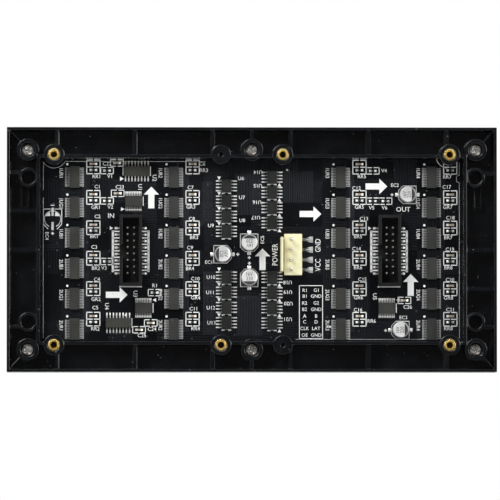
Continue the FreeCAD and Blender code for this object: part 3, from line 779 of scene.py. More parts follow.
FRAME_PLASTIC = Finish(
    "frame_plastic", (0.0018, 0.0024, 0.0036), (0.0032, 0.0041, 0.0058), (0.14, 0.23),
    specular=0.8, fine=2600.0, relief=0.000008, dust=0.03,
)
MASK_PLASTIC = Finish(
    "mask_plastic", (0.006, 0.006, 0.0065), (0.009, 0.009, 0.0098), (0.42, 0.56), specular=0.3,
)
LED_PACKAGE = LampFinish("led_package", (0.66, 0.66, 0.63), (0.74, 0.74, 0.7), (0.32, 0.42), relief=0.000004)
BOARD_LAMINATE = BoardFinish(
    "board_laminate", (0.0020, 0.0024, 0.0032), (0.0052, 0.0060, 0.0078), (0.22, 0.3),
    specular=0.3, coarse=28.0, relief=0.00003, dust=0.04,
)
BOARD_LEGEND = Finish(
    "board_legend", (0.71, 0.72, 0.71), (0.82, 0.83, 0.82), (0.5, 0.6),
    Coating.PRINT, fine=7000.0, relief=0.000006, dust=0.04,
)
INSERT_BRASS = MetalFinish("insert_brass", (0.86, 0.64, 0.21), (0.96, 0.79, 0.37), (0.2, 0.32), metallic=0.94)
SCREW_STEEL = MetalFinish("screw_steel", (0.86, 0.83, 0.79), (0.97, 0.95, 0.92), (0.18, 0.3), metallic=0.8)
NUT_BRASS = MetalFinish("nut_brass", (0.60, 0.52, 0.34), (0.72, 0.63, 0.42), (0.26, 0.4))
TINNED_LEGS = MetalFinish("tinned_legs", (0.62, 0.63, 0.61), (0.76, 0.77, 0.75), (0.42, 0.54), metallic=0.9)
DULL_LEGS = MetalFinish(
    "dull_legs", (0.36, 0.37, 0.37), (0.46, 0.47, 0.47), (0.46, 0.58), metallic=0.8, slot="tinned_legs",
)
DULL_SOLDER = SolderFinish(
    "dull_solder", (0.42, 0.42, 0.41), (0.54, 0.54, 0.53), (0.46, 0.58), metallic=0.6, relief=0.00002,
)
SOLDER = SolderFinish(
    "solder", (0.84, 0.84, 0.81), (0.95, 0.95, 0.92), (0.34, 0.48), metallic=0.7, relief=0.00003,
)
HEADER_PIN = MetalFinish("header_pin_metal", (0.50, 0.48, 0.43), (0.64, 0.62, 0.56), (0.36, 0.48))
SOCKET_PIN = MetalFinish("socket_pin_metal", (0.80, 0.80, 0.79), (0.92, 0.92, 0.91), (0.22, 0.34))
SHROUD_PLASTIC = Finish(
    "shroud_plastic", (0.0085, 0.0085, 0.0090), (0.0130, 0.0130, 0.0138), (0.28, 0.38), specular=0.3,
)
SOCKET_NYLON = Finish(
    "socket_nylon", (0.74, 0.69, 0.42), (0.80, 0.76, 0.50), (0.34, 0.46), relief=0.000008, dust=0.02,
)
CAN_ALUMINIUM = MetalFinish(
    "can_aluminium", (0.78, 0.78, 0.77), (0.90, 0.90, 0.89), (0.4, 0.52),
    metallic=0.75, fine=3500.0, relief=0.000006,
)
CAN_PRINT = Finish("can_print", (0.02, 0.02, 0.022), (0.035, 0.035, 0.037), (0.4, 0.5), Coating.PRINT)
BASE_PLASTIC = Finish("base_plastic", (0.015, 0.015, 0.016), (0.024, 0.024, 0.026), (0.3, 0.42))
CERAMIC = Finish("ceramic", (0.34, 0.24, 0.14), (0.44, 0.33, 0.21), (0.4, 0.52), coarse=500.0)
RESISTOR = Finish("resistor", (0.02, 0.02, 0.024), (0.032, 0.032, 0.038), (0.26, 0.36), coarse=500.0)
DRIVER_RESIN = ResinFinish("driver_resin", (0.025, 0.025, 0.023), (0.034, 0.034, 0.031), (0.46, 0.56))
SWITCH_RESIN = ResinFinish("switch_resin", (0.010, 0.010, 0.010), (0.016, 0.016, 0.015), (0.4, 0.5))
DECODER_RESIN = ResinFinish("decoder_resin", (0.030, 0.030, 0.026), (0.040, 0.040, 0.035), (0.46, 0.56))


# Making pieces


def placed(name: str, data: bpy.types.ID) -> bpy.types.Object:
    """Makes an object of the data and puts it in the scene."""
    item = bpy.data.objects.new(name, data)
    bpy.context.scene.collection.objects.link(item)
    return item


def dress(piece: bpy.types.Object, finish: Finish) -> None:
    """Gives an object one finish in all its material slots."""
    if not piece.data.materials:
        piece.data.materials.append(None)
    for slot in piece.material_slots:
        slot.link = "OBJECT"
        slot.material = finish.material()


def make_piece(name: str, surface: Surface, finish: Finish, replaced: tuple[str, ...] = ()) -> None:
    """Makes a finished piece at the origin from a surface, and sets it on the panel's body.

    Args:
        name: the piece's name.
        surface: its skin, in board places and heights.
        finish: its finish.
        replaced: the CAD nodes it stands for.
    """
    across, along, height = surface.points.T
    points = np.column_stack([across, REAR_FACE - height, along + MIDDLE])
    corners = np.concatenate([surface.quads.ravel(), surface.triangles.ravel()]).astype(np.int32)
    sizes = np.concatenate([np.full(len(surface.quads), 4), np.full(len(surface.triangles), 3)])
    mesh = bpy.data.meshes.new(name)
    mesh.vertices.add(len(points))
    mesh.vertices.foreach_set("co", (points * MM).astype(np.float32).ravel())
    mesh.loops.add(len(corners))
    mesh.loops.foreach_set("vertex_index", corners)
    mesh.polygons.add(len(sizes))
    mesh.polygons.foreach_set("loop_start", (np.cumsum(sizes) - sizes).astype(np.int32))
    mesh.update(calc_edges=True)
    mesh.shade_smooth()
    mesh.set_sharp_from_angle(angle=math.radians(CREASE_DEG))
    piece = placed(name, mesh)
    dress(piece, finish)
    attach(piece, "root")
    if replaced:
        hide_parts(*replaced)
    note = "stands for " + ", ".join(replaced) if replaced else "added"
    LOG.info("%s: %d faces, %s", name, len(sizes), note)


def finish_node(node: str, finish: Finish, bevel: float, segments: int = 2) -> None:
    """Dresses a CAD node that stays, and breaks its edges.

    Args:
        node: the node's name.
        finish: its finish.
        bevel: width of the broken edge.
        segments: steps across the broken edge.
    """
    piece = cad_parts[node]
    dress(piece, finish)
    weld = piece.modifiers.new("weld", "WELD")
    weld.merge_threshold = WELD_REACH_M
    edge = piece.modifiers.new("edge", "BEVEL")
    edge.width = bevel * MM
    edge.segments = segments
    edge.use_clamp_overlap = False
    edge.limit_method = "ANGLE"
    edge.angle_limit = math.radians(BREAK_FROM_DEG)
    edge.harden_normals = True
    LOG.info("%s: kept, %s", node, finish.name)


# Sub-assemblies


@dataclass
class Frame:
    """The moulded rear frame with its six screws, brass inserts and hidden nuts."""

    head_radius: float = 2.35
    head_height: float = 1.9
    head_side: float = 0.75
    seat: float = 5.1
    shank_radius: float = 1.25
    shank_length: float = 4.9
    thread_pitch: float = 0.5
    recess_depth: float = 0.9
    recess_reach: float = 1.6
    recess_half_width: float = 0.4
    crown_shares: tuple[float, ...] = (
        1.0, 0.97, 0.9, 0.82, 0.74, 0.66, 0.6, 0.54, 0.48, 0.42, 0.36, 0.3, 0.25, 0.2, 0.16, 0.12,
        0.09, 0.06, 0.03,
    )
    shank_thread: float = 0.18
    bore_thread: float = 0.14
    insert_radius: float = 2.5
    insert_bore: float = 1.25
    insert_length: float = 8.0
    rim: float = 10.39
    knurls: int = 24

    def screw(self) -> Surface:
        """Pan head over a threaded shank, as a polar grid.

        The crown is part of an ellipse: at a share s of its radius it rises by sqrt(1 - 0.96 s^2). A cross
        goes down where the smaller of |x| and |y| is under the recess's half width.

        Returns:
            One screw at the panel's middle.
        """
        turns = int(self.shank_length / self.thread_pitch)
        steps = np.arange(2 * turns)
        shank_radius = self.shank_radius - self.shank_thread * (steps % 2)
        shank_height = self.seat - self.shank_length + steps * self.thread_pitch / 2
        crown = np.array(self.crown_shares) * self.head_radius
        side = self.seat + self.head_side
        rise = self.head_height - self.head_side
        dome = side + rise * np.sqrt(1 - (crown / self.head_radius) ** 2 * 0.96)
        dome[0] = side
        neck = [(self.shank_radius, self.seat), (self.head_radius - 0.1, self.seat),
                (self.head_radius, self.seat + 0.12)]
        radius = np.concatenate([shank_radius, [r for r, _ in neck], crown])
        height = np.concatenate([shank_height, [h for _, h in neck], dome])
        rings = round_rings(radius[:, None], height[:, None], 64)
        reach = np.abs(rings[..., :2])
        share = np.clip((self.recess_half_width - reach.min(axis=-1)) / 0.14 + 0.5, 0, 1)
        share *= np.clip((self.recess_reach - reach.max(axis=-1)) / 0.3 + 0.5, 0, 1)
        on_crown = (np.arange(len(radius)) >= len(radius) - len(crown) + 2)[:, None]
        rings[..., 2] -= self.recess_depth * share * on_crown
        return loft(rings)

    def insert(self) -> Surface:
        """Knurled insert with a funnel mouth.

        Along the body the outer radius drops by a cosine of the angle, and the bore's thread is rings that
        change between two radii.

        Returns:
            One insert at the panel's middle.
        """
        segments = 4 * self.knurls
        foot = self.rim - self.insert_length
        turns = int((self.insert_length - 1.2) / self.thread_pitch)
        steps = np.arange(2 * turns)
        thread_height = self.rim - 0.65 - steps * self.thread_pitch / 2
        thread_radius = self.insert_bore + self.bore_thread * (1 - steps % 2)
        rim, wide, bore = self.rim, self.insert_radius, self.insert_bore
        outer = [
            (wide - 0.15, foot), (wide, foot + 0.3), (wide, rim - 0.34), (wide - 0.26, rim - 0.04),
            (wide - 0.34, rim), (bore + 0.62, rim), (bore + self.bore_thread, rim - 0.5),
        ]
        radius = np.concatenate([[r for r, _ in outer], thread_radius, [self.insert_bore]])
        height = np.concatenate([[h for _, h in outer], thread_height, [foot]])
        knurl = np.zeros((len(radius), segments))
        knurl[1:5] = -0.11 * (1 - np.cos(self.knurls * full_turn(segments)))
        return loft(round_rings(radius[:, None] + knurl, height[:, None], segments), looped=True)

    def build(self) -> None:
        """Makes the frame's pieces."""
        finish_node("rear_frame", FRAME_PLASTIC, bevel=0.22, segments=3)
        finish_node("solder_nuts", NUT_BRASS, bevel=0.1)
        screws = self.screw().repeated(SCREW_PLACES, turns=0.3)
        inserts = self.insert().repeated(INSERT_PLACES)
        make_piece("pan_head_screws", screws, SCREW_STEEL, ("frame_screws",))
        make_piece("knurled_inserts", inserts, INSERT_BRASS, ("threaded_inserts",))


@dataclass
class LitFace:
    """The louvred mask and the 2048 lamps behind its windows."""

    pitch: float = 3.0
    columns: int = 64
    rows: int = 32
    window: float = 2.35
    grid_depth: float = 1.75
    lamp: float = 2.1
    lamp_height: float = 1.6

    def centres(self) -> np.ndarray:
        """The middle of every pixel, from one outer sum of two rows of numbers."""
        across = (np.arange(self.columns) - (self.columns - 1) / 2) * self.pitch
        along = (np.arange(self.rows) - (self.rows - 1) / 2) * self.pitch
        return np.stack(np.meshgrid(across, along), axis=-1).reshape(-1, 2)

    def front(self, depth: float) -> float:
        """Height, below the board's rear face, of a depth in front of its lit side."""
        return -BOARD_THICKNESS - depth

    def lattice(self) -> Surface:
        """The grid of windows, one loop of square rings for each pixel.

        The rings lie rear outside, rear inside, front inside and front outside, each at its own depth.

        Returns:
            All windows, held inside the panel's outline.
        """
        inside = self.window / 2
        outside = self.pitch / 2
        depth = self.grid_depth
        rings = [(outside, 0.0), (inside - 0.06, 0.0), (inside, depth - 0.12), (inside + 0.1, depth),
                 (outside, depth)]
        square = np.array([(1, 1), (-1, 1), (-1, -1), (1, -1)], float)
        window = loft([at_height(square * half, self.front(level)) for half, level in rings], looped=True)
        grid = window.repeated(self.centres())
        grid.points[:, 0] = np.clip(grid.points[:, 0], -HALF_WIDTH, HALF_WIDTH)
        grid.points[:, 1] = np.clip(grid.points[:, 1], -HALF_HEIGHT, HALF_HEIGHT)
        return grid

    def fins(self) -> Surface:
        """Shading fins between the pixel rows: a trapezoid carried from side to side.

        Returns:
            All fins, the outer two cut to the panel's outline.
        """
        near = self.front(self.grid_depth)
        far = self.front(MASK_DEPTH)
        base = (self.pitch - self.window) / 2
        section = np.array([(-base, near), (base, near), (base * 0.72, far + 0.08), (base * 0.55, far),
                            (-base * 0.55, far), (-base * 0.72, far + 0.08)])
        across = np.array([-HALF_WIDTH, HALF_WIDTH])
        rings = np.stack([np.column_stack([np.full(len(section), x), section]) for x in across])
        along = (np.arange(self.rows + 1) - self.rows / 2) * self.pitch
        fins = loft(rings).repeated([(0.0, z) for z in along])
        fins.points[:, 1] = np.clip(fins.points[:, 1], -HALF_HEIGHT, HALF_HEIGHT)
        return fins

    def lamps(self) -> Surface:
        """Lamp packages: two square rings of eight points, then a round cup.

        Returns:
            All packages.
        """
        half = self.lamp / 2
        square = np.array([(1, 0), (1, 1), (0, 1), (-1, 1), (-1, 0), (-1, -1), (0, -1), (1, -1)], float)
        circle = square / np.linalg.norm(square, axis=1, keepdims=True)
        rings = [(square * half, 0.0), (square * half, self.lamp_height), (circle * 0.9, self.lamp_height),
                 (circle * 0.8, self.lamp_height - 0.25)]
        package = loft([at_height(ring, self.front(depth)) for ring, depth in rings])
        return package.repeated(self.centres())

    def build(self) -> None:
        """Makes the lit face's pieces."""
        make_piece("window_lattice", joined([self.lattice(), self.fins()]), MASK_PLASTIC, ("led_mask",))
        make_piece("lamp_packages", self.lamps(), LED_PACKAGE, ("led_packages",))


@dataclass
class ChipFamily:
    """Chips of one size: moulded bodies with a pin one dimple, bent legs and the solder at their toes."""

    width: float
    length: float
    height: float
    legs: int
    pitch: float
    leg_width: float
    span: float
    pad_reach: float
    shoulder: float
    resin: Finish
    metal: Finish = TINNED_LEGS
    pad_share: float = 0.72
    solder_height: float = 0.24
    turns: int = 0
    dimple: Pair = (-1.1, 0.0)
    stand_off: float = 0.15
    leg_thickness: float = 0.18

    @property
    def waist(self) -> float:
        """Height at which the legs leave the body."""
        return self.stand_off + self.height / 2

    def outline(self, half_across: float, half_along: float) -> np.ndarray:
        """Sixteen points round a rectangle, four to a side: corner plus a quarter share of the side."""
        corners = np.array([(1, 1), (-1, 1), (-1, -1), (1, -1)], float) * (half_across, half_along)
        share = np.arange(4)[None, :, None] / 4
        return (corners[:, None] * (1 - share) + np.roll(corners, -1, axis=0)[:, None] * share).reshape(-1, 2)

    def body(self) -> Surface:
        """Body of sixteen-point rings: foot, waist, top edge, and two circles down into the pin one dimple.

        Returns:
            One body at the panel's middle.
        """
        half = np.array([self.width / 2, self.length / 2])
        top = self.stand_off + self.height
        spot = np.array([self.dimple[0], half[1] - 1.0 + self.dimple[1]])
        levels = [(0.14, self.stand_off), (0.0, self.waist), (0.11, top - 0.05), (0.17, top)]
        rings = [at_height(self.outline(*(half - inset)), level) for inset, level in levels]
        rays = self.outline(*(half - 0.17)) - spot
        circle = rays / np.linalg.norm(rays, axis=1, keepdims=True)
        for radius, level in ((0.36, top), (0.3, top - 0.07)):
            rings.append(at_height(spot + circle * radius, level))
        return loft(rings)

    def leg_rows(self) -> np.ndarray:
        """Places of the legs along one side."""
        return (np.arange(self.legs) - (self.legs - 1) / 2) * self.pitch

    def leg(self) -> Surface:
        """One bent leg: shoulder, slope and foot, with its corners rounded."""
        half = self.width / 2
        toe = self.span / 2
        low = self.leg_thickness / 2 + 0.02
        bend = half + self.shoulder
        corners = [(half - 0.08, self.waist), (bend, self.waist), (bend + 0.2, low), (toe, low)]
        return bar_along(rounded_path(corners, 0.1, 2), self.leg_thickness, self.leg_width)

    def toe_solder(self) -> Surface:
        """Solder on one pad, over the foot and down to the pad's end."""
        toe, end = self.span / 2, self.pad_reach
        half, top = self.leg_width * self.pad_share, self.solder_height
        foot = self.width / 2 + self.shoulder + 0.3
        stations = [(foot, half, 0.06), ((foot + toe) / 2, half, top * 0.85), (toe, half, top),
                    (toe + (end - toe) * 0.45, half, top * 0.6), (end, half * 0.9, 0.04)]
        return mound(stations, lean=0.2)

    def rows_of(self, shape: Surface, places: list[Pair]) -> Surface:
        """Both rows of a leg or of its solder, at every chip.

        Args:
            shape: the leg or solder on the right side.
            places: the chips' places.

        Returns:
            All copies as one surface.
        """
        rows = [side.repeated([(0.0, row) for row in self.leg_rows()]) for side in mirrored(shape)]
        return joined(rows).repeated(places, self.turns)

    def build(self, rows: dict[str, list[Pair]], leg_piece: str, leg_nodes: tuple[str, ...]) -> Surface:
        """Makes the bodies and the legs.

        Args:
            rows: for each node of chip bodies, the places of its chips.
            leg_piece: name of the piece that holds all the legs.
            leg_nodes: the nodes that it stands for.

        Returns:
            The solder at all the toes, to be joined with the board's other solder.
        """
        body = self.body()
        places = []
        for node, spots in rows.items():
            piece = node + ("_chips" if len(spots) > 1 else "_chip")
            make_piece(piece, body.repeated(spots, self.turns), self.resin, (node,))
            places += spots
        make_piece(leg_piece, self.rows_of(self.leg(), places), self.metal, leg_nodes)
        return self.rows_of(self.toe_solder(), places)


@dataclass
class Chips:
    """Every chip of the board."""

    driver: ChipFamily = field(default_factory=lambda: ChipFamily(
        width=3.9, length=8.65, height=1.5, legs=12, pitch=0.635, leg_width=0.32, span=6.3, pad_reach=3.7,
        shoulder=0.6, resin=DRIVER_RESIN, metal=DULL_LEGS, pad_share=0.76, solder_height=0.12))
    switch: ChipFamily = field(default_factory=lambda: ChipFamily(
        width=3.9, length=4.9, height=1.5, legs=4, pitch=1.27, leg_width=0.42, span=6.0, pad_reach=4.13,
        shoulder=0.38, resin=SWITCH_RESIN, metal=DULL_LEGS, pad_share=0.62))
    decoder: ChipFamily = field(default_factory=lambda: ChipFamily(
        width=3.9, length=9.9, height=1.5, legs=8, pitch=1.27, leg_width=0.42, span=6.0, pad_reach=4.0,
        shoulder=0.38, resin=DECODER_RESIN, turns=3))
    buffer: ChipFamily = field(default_factory=lambda: ChipFamily(
        width=4.4, length=6.5, height=1.0, legs=10, pitch=0.65, leg_width=0.28, span=6.6, pad_reach=3.85,
        shoulder=0.45, resin=DRIVER_RESIN, pad_share=0.9, turns=3))

    def build(self) -> list[Surface]:
        """Makes the chips' pieces and their dull solder, and returns the bright solder."""
        names = ("red_drivers_upper", "green_drivers_upper", "blue_drivers_upper", "blue_drivers_lower",
                 "green_drivers_lower", "red_drivers_lower")
        drivers = {
            name: [(column, row) for column in DRIVER_COLUMNS] for name, row in zip(names, DRIVER_ROWS)
        }
        switches = {
            f"row_switches_{name}": [(x, top - SWITCH_STEP * number) for number in range(4)]
            for name, (x, top) in SWITCH_GROUPS.items()
        }
        decoders = {f"row_decoder_{name}": [place] for name, place in DECODERS.items()}
        buffers = {f"signal_buffer_{name}": [place] for name, place in BUFFERS.items()}
        switch_legs = tuple(f"row_switch_legs_{name}" for name in SWITCH_GROUPS)
        decoder_legs = tuple(f"row_decoder_legs_{name}" for name in DECODERS)
        dull = self.driver.build(drivers, "driver_gull_legs", ("driver_legs",))
        make_piece("driver_toe_solder", dull, DULL_SOLDER)
        return [
            self.switch.build(switches, "switch_gull_legs", switch_legs),
            self.decoder.build(decoders, "decoder_gull_legs", decoder_legs),
            self.buffer.build(buffers, "buffer_gull_legs", ("signal_buffer_legs",)),
        ]


@dataclass
class ChipParts:
    """Ceramic capacitors and resistors: a body between two tinned ends, soldered to two pads."""

    half_length: float = 0.8
    half_width: float = 0.4
    end: float = 0.34
    ceramic_height: float = 0.8
    resistor_height: float = 0.45

    def body(self, height: float) -> Surface:
        """The coloured middle, a little smaller than the ends."""
        return block(self.half_length - self.end / 2, self.half_width - 0.02, 0.02, height - 0.02, 0.04)

    def ends(self, height: float) -> Surface:
        """Both tinned ends."""
        cap = block(self.end / 2, self.half_width, 0.0, height, 0.06)
        reach = self.half_length - self.end / 2
        return cap.repeated([(-reach, 0.0), (reach, 0.0)])

    def solder(self, height: float) -> Surface:
        """Both fillets, whose height falls about as the square of what is left of the way."""
        end = self.half_length
        stations = [(end - 0.06, 0.44, height * 0.72), (end + 0.12, 0.46, height * 0.45),
                    (end + 0.34, 0.47, height * 0.22), (end + 0.72, 0.45, 0.05)]
        return joined(mirrored(mound(stations, lean=0.25)))

    def build(self) -> list[Surface]:
        """Makes the pieces and returns the solder."""
        uppers = [(x, z + 1.2) for x, z in CLUSTERS if (x, z) != CLUSTERS[-6]] + list(LONE_CERAMICS)
        lowers = [(x, z - 1.2) for x, z in CLUSTERS] + list(LONE_RESISTORS)
        sorts = (
            ("ceramic_bodies", self.ceramic_height, uppers, CERAMIC, "ceramic_capacitors"),
            ("resistor_bodies", self.resistor_height, lowers, RESISTOR, "chip_resistors"),
        )
        ends = []
        solder = []
        for piece, height, places, finish, node in sorts:
            make_piece(piece, self.body(height).repeated(places), finish, (node,))
            ends.append(self.ends(height).repeated(places))
            solder.append(self.solder(height).repeated(places))
        make_piece("tinned_part_ends", joined(ends), TINNED_LEGS)
        return solder


@dataclass
class CanCapacitors:
    """Aluminium cans with a crimp groove, on black bases, a printed segment on their negative side."""

    radius: float = 3.15
    base_top: float = 1.0
    top: float = 5.8
    print_from: float = 1.45
    print_radius: float = 2.9
    print_low: float = 5.76
    print_thickness: float = 0.035
    capital: float = 1.45
    narrow: float = 0.85
    words: tuple[tuple[str, float], ...] = (("220", -0.42), ("16V", 1.3))
    tab_reach: float = 4.2

    def can(self) -> Surface:
        """The can's profile turned round: foot, groove, wall, rounded shoulder and a top sunk by a hair."""
        r, top = self.radius, self.top
        profile = [
            (r - 0.12, self.base_top), (r, 1.15), (r, 1.5), (r - 0.12, 1.62), (r - 0.2, 1.8),
            (r - 0.12, 1.98), (r, 2.1), (r, 5.25), (r - 0.06, 5.5), (r - 0.2, 5.7), (r - 0.4, top),
            (r - 0.6, top - 0.03), (1.2, top - 0.03), (0.3, top - 0.03),
        ]
        return turned(profile, 64)

    def printed(self) -> Surface:
        """The printed segment: the arc of the top's circle beyond a chord on the left, raised a little."""
        half_angle = math.acos(self.print_from / self.print_radius)
        angle = np.linspace(math.pi - half_angle, math.pi + half_angle, 24)
        outline = unit_circle(angle) * self.print_radius
        shapes = [slab(outline, self.print_low, self.print_low + self.print_thickness)]
        for text, across in self.words:
            word = letters(text, self.capital, self.narrow).repeated([(across, 0.0)], 3)
            word.points[:, 2] = self.print_low + word.points[:, 2] * self.print_thickness
            shapes.append(word)
        return joined(shapes)

    def tab_solder(self) -> Surface:
        """Solder round both tabs."""
        end = self.tab_reach
        stations = [(end - 1.5, 0.55, 0.24), (end - 0.5, 0.7, 0.3), (end, 0.75, 0.26),
                    (end + 0.55, 0.7, 0.05)]
        return joined(mirrored(mound(stations, lean=0.45)))

    def build(self) -> list[Surface]:
        """Makes the pieces and returns the solder."""
        solder = []
        prints = []
        for number, (place, clockwise) in enumerate(CANS, 1):
            can = self.can().repeated([place])
            make_piece(f"grooved_can_{number}", can, CAN_ALUMINIUM, (f"capacitor_can_{number}",))
            finish_node(f"capacitor_base_{number}", BASE_PLASTIC, bevel=0.08)
            prints.append(self.printed().repeated([place], -clockwise))
            solder.append(self.tab_solder().repeated([place], -clockwise))
        make_piece("can_prints", joined(prints), CAN_PRINT)
        finish_node("capacitor_tabs", TINNED_LEGS, bevel=0.03)
        return solder


@dataclass
class Connectors:
    """Two box headers and the power socket: pins with tapered tips and the solder at their tails."""

    pin: float = 0.64
    pin_top: float = 8.0
    tail_reach: float = 6.2
    tail: float = 0.4
    socket_pin: float = 1.14
    socket_pin_top: float = 10.0
    socket_pin_offset: float = -0.8
    socket_tail_reach: float = 6.3
    socket_tail: float = 0.6

    def bent_pin(self, upright: float, size: float, tail: float, reach: float, top: float) -> Surface:
        """A square pin carried from its tapered tip down and out to its tail.

        Args:
            upright: place across of the pin's upright part.
            size: thickness of the upright part.
            tail: thickness of the tail.
            reach: place across of the tail's end.
            top: height of the tip.

        Returns:
            One pin at the panel's middle.
        """
        low = tail / 2
        path = np.array([(upright, top), (upright, top - 0.1 * size), (upright, top - 0.26 * size),
                         (upright, top - 0.6 * size), (upright, 1.4), (upright + 0.02, 0.7),
                         (upright + 0.3, low + 0.06), (upright + 0.7, low), (reach, low)])
        thickness = np.append(np.array([0.3, 0.62, 0.86, 1.0, 1.0, 0.9]) * size, [tail] * 3)
        width = np.array([0.3, 0.62, 0.86, 1.0, 1.0, 1.0, 1.0, 1.0, 1.0]) * size
        return bar_along(path, thickness, width)

    def header(self, name: str, place: Pair) -> Surface:
        """Makes one header.

        Args:
            name: input or output.
            place: its middle.

        Returns:
            The solder at its tails.
        """
        rows = [(place[0], place[1] + (number - 3.5) * HEADER_PITCH) for number in range(8)]
        pin = self.bent_pin(HEADER_PITCH / 2, self.pin, self.tail, self.tail_reach, self.pin_top)
        pins = joined([side.repeated(rows) for side in mirrored(pin)])
        make_piece(f"{name}_header_gold_pins", pins, HEADER_PIN, (f"{name}_header_pins",))
        finish_node(f"{name}_header_shroud", SHROUD_PLASTIC, bevel=0.12)
        stations = [(4.95, 0.24, 0.42), (5.25, 0.42, 0.54), (5.65, 0.54, 0.6), (6.05, 0.46, 0.46),
                    (6.35, 0.24, 0.1)]
        return joined([side.repeated(rows) for side in mirrored(mound(stations))])

    def build(self) -> list[Surface]:
        """Makes the pieces and returns the solder."""
        solder = [self.header(name, place) for name, place in HEADERS.items()]
        rows = [(SOCKET[0], SOCKET[1] + (number - 1.5) * SOCKET_PITCH) for number in range(4)]
        pin = self.bent_pin(self.socket_pin_offset, self.socket_pin, self.socket_tail, self.socket_tail_reach,
                            self.socket_pin_top)
        make_piece("power_blade_pins", pin.repeated(rows), SOCKET_PIN, ("power_socket_pins",))
        finish_node("power_socket_base", SOCKET_NYLON, bevel=0.2)
        stations = [(3.75, 0.36, 0.3), (5.1, 0.5, 0.62), (5.8, 0.8, 0.72), (6.6, 1.12, 0.5),
                    (7.85, 1.22, 0.06)]
        make_piece("power_tail_solder", mound(stations, lean=0.75).repeated(rows), DULL_SOLDER)
        return solder


class Aim(Enum):
    """Quarter turns anticlockwise of a mark that is drawn pointing right."""

    RIGHT = 0
    UP = 1
    LEFT = 2
    DOWN = 3


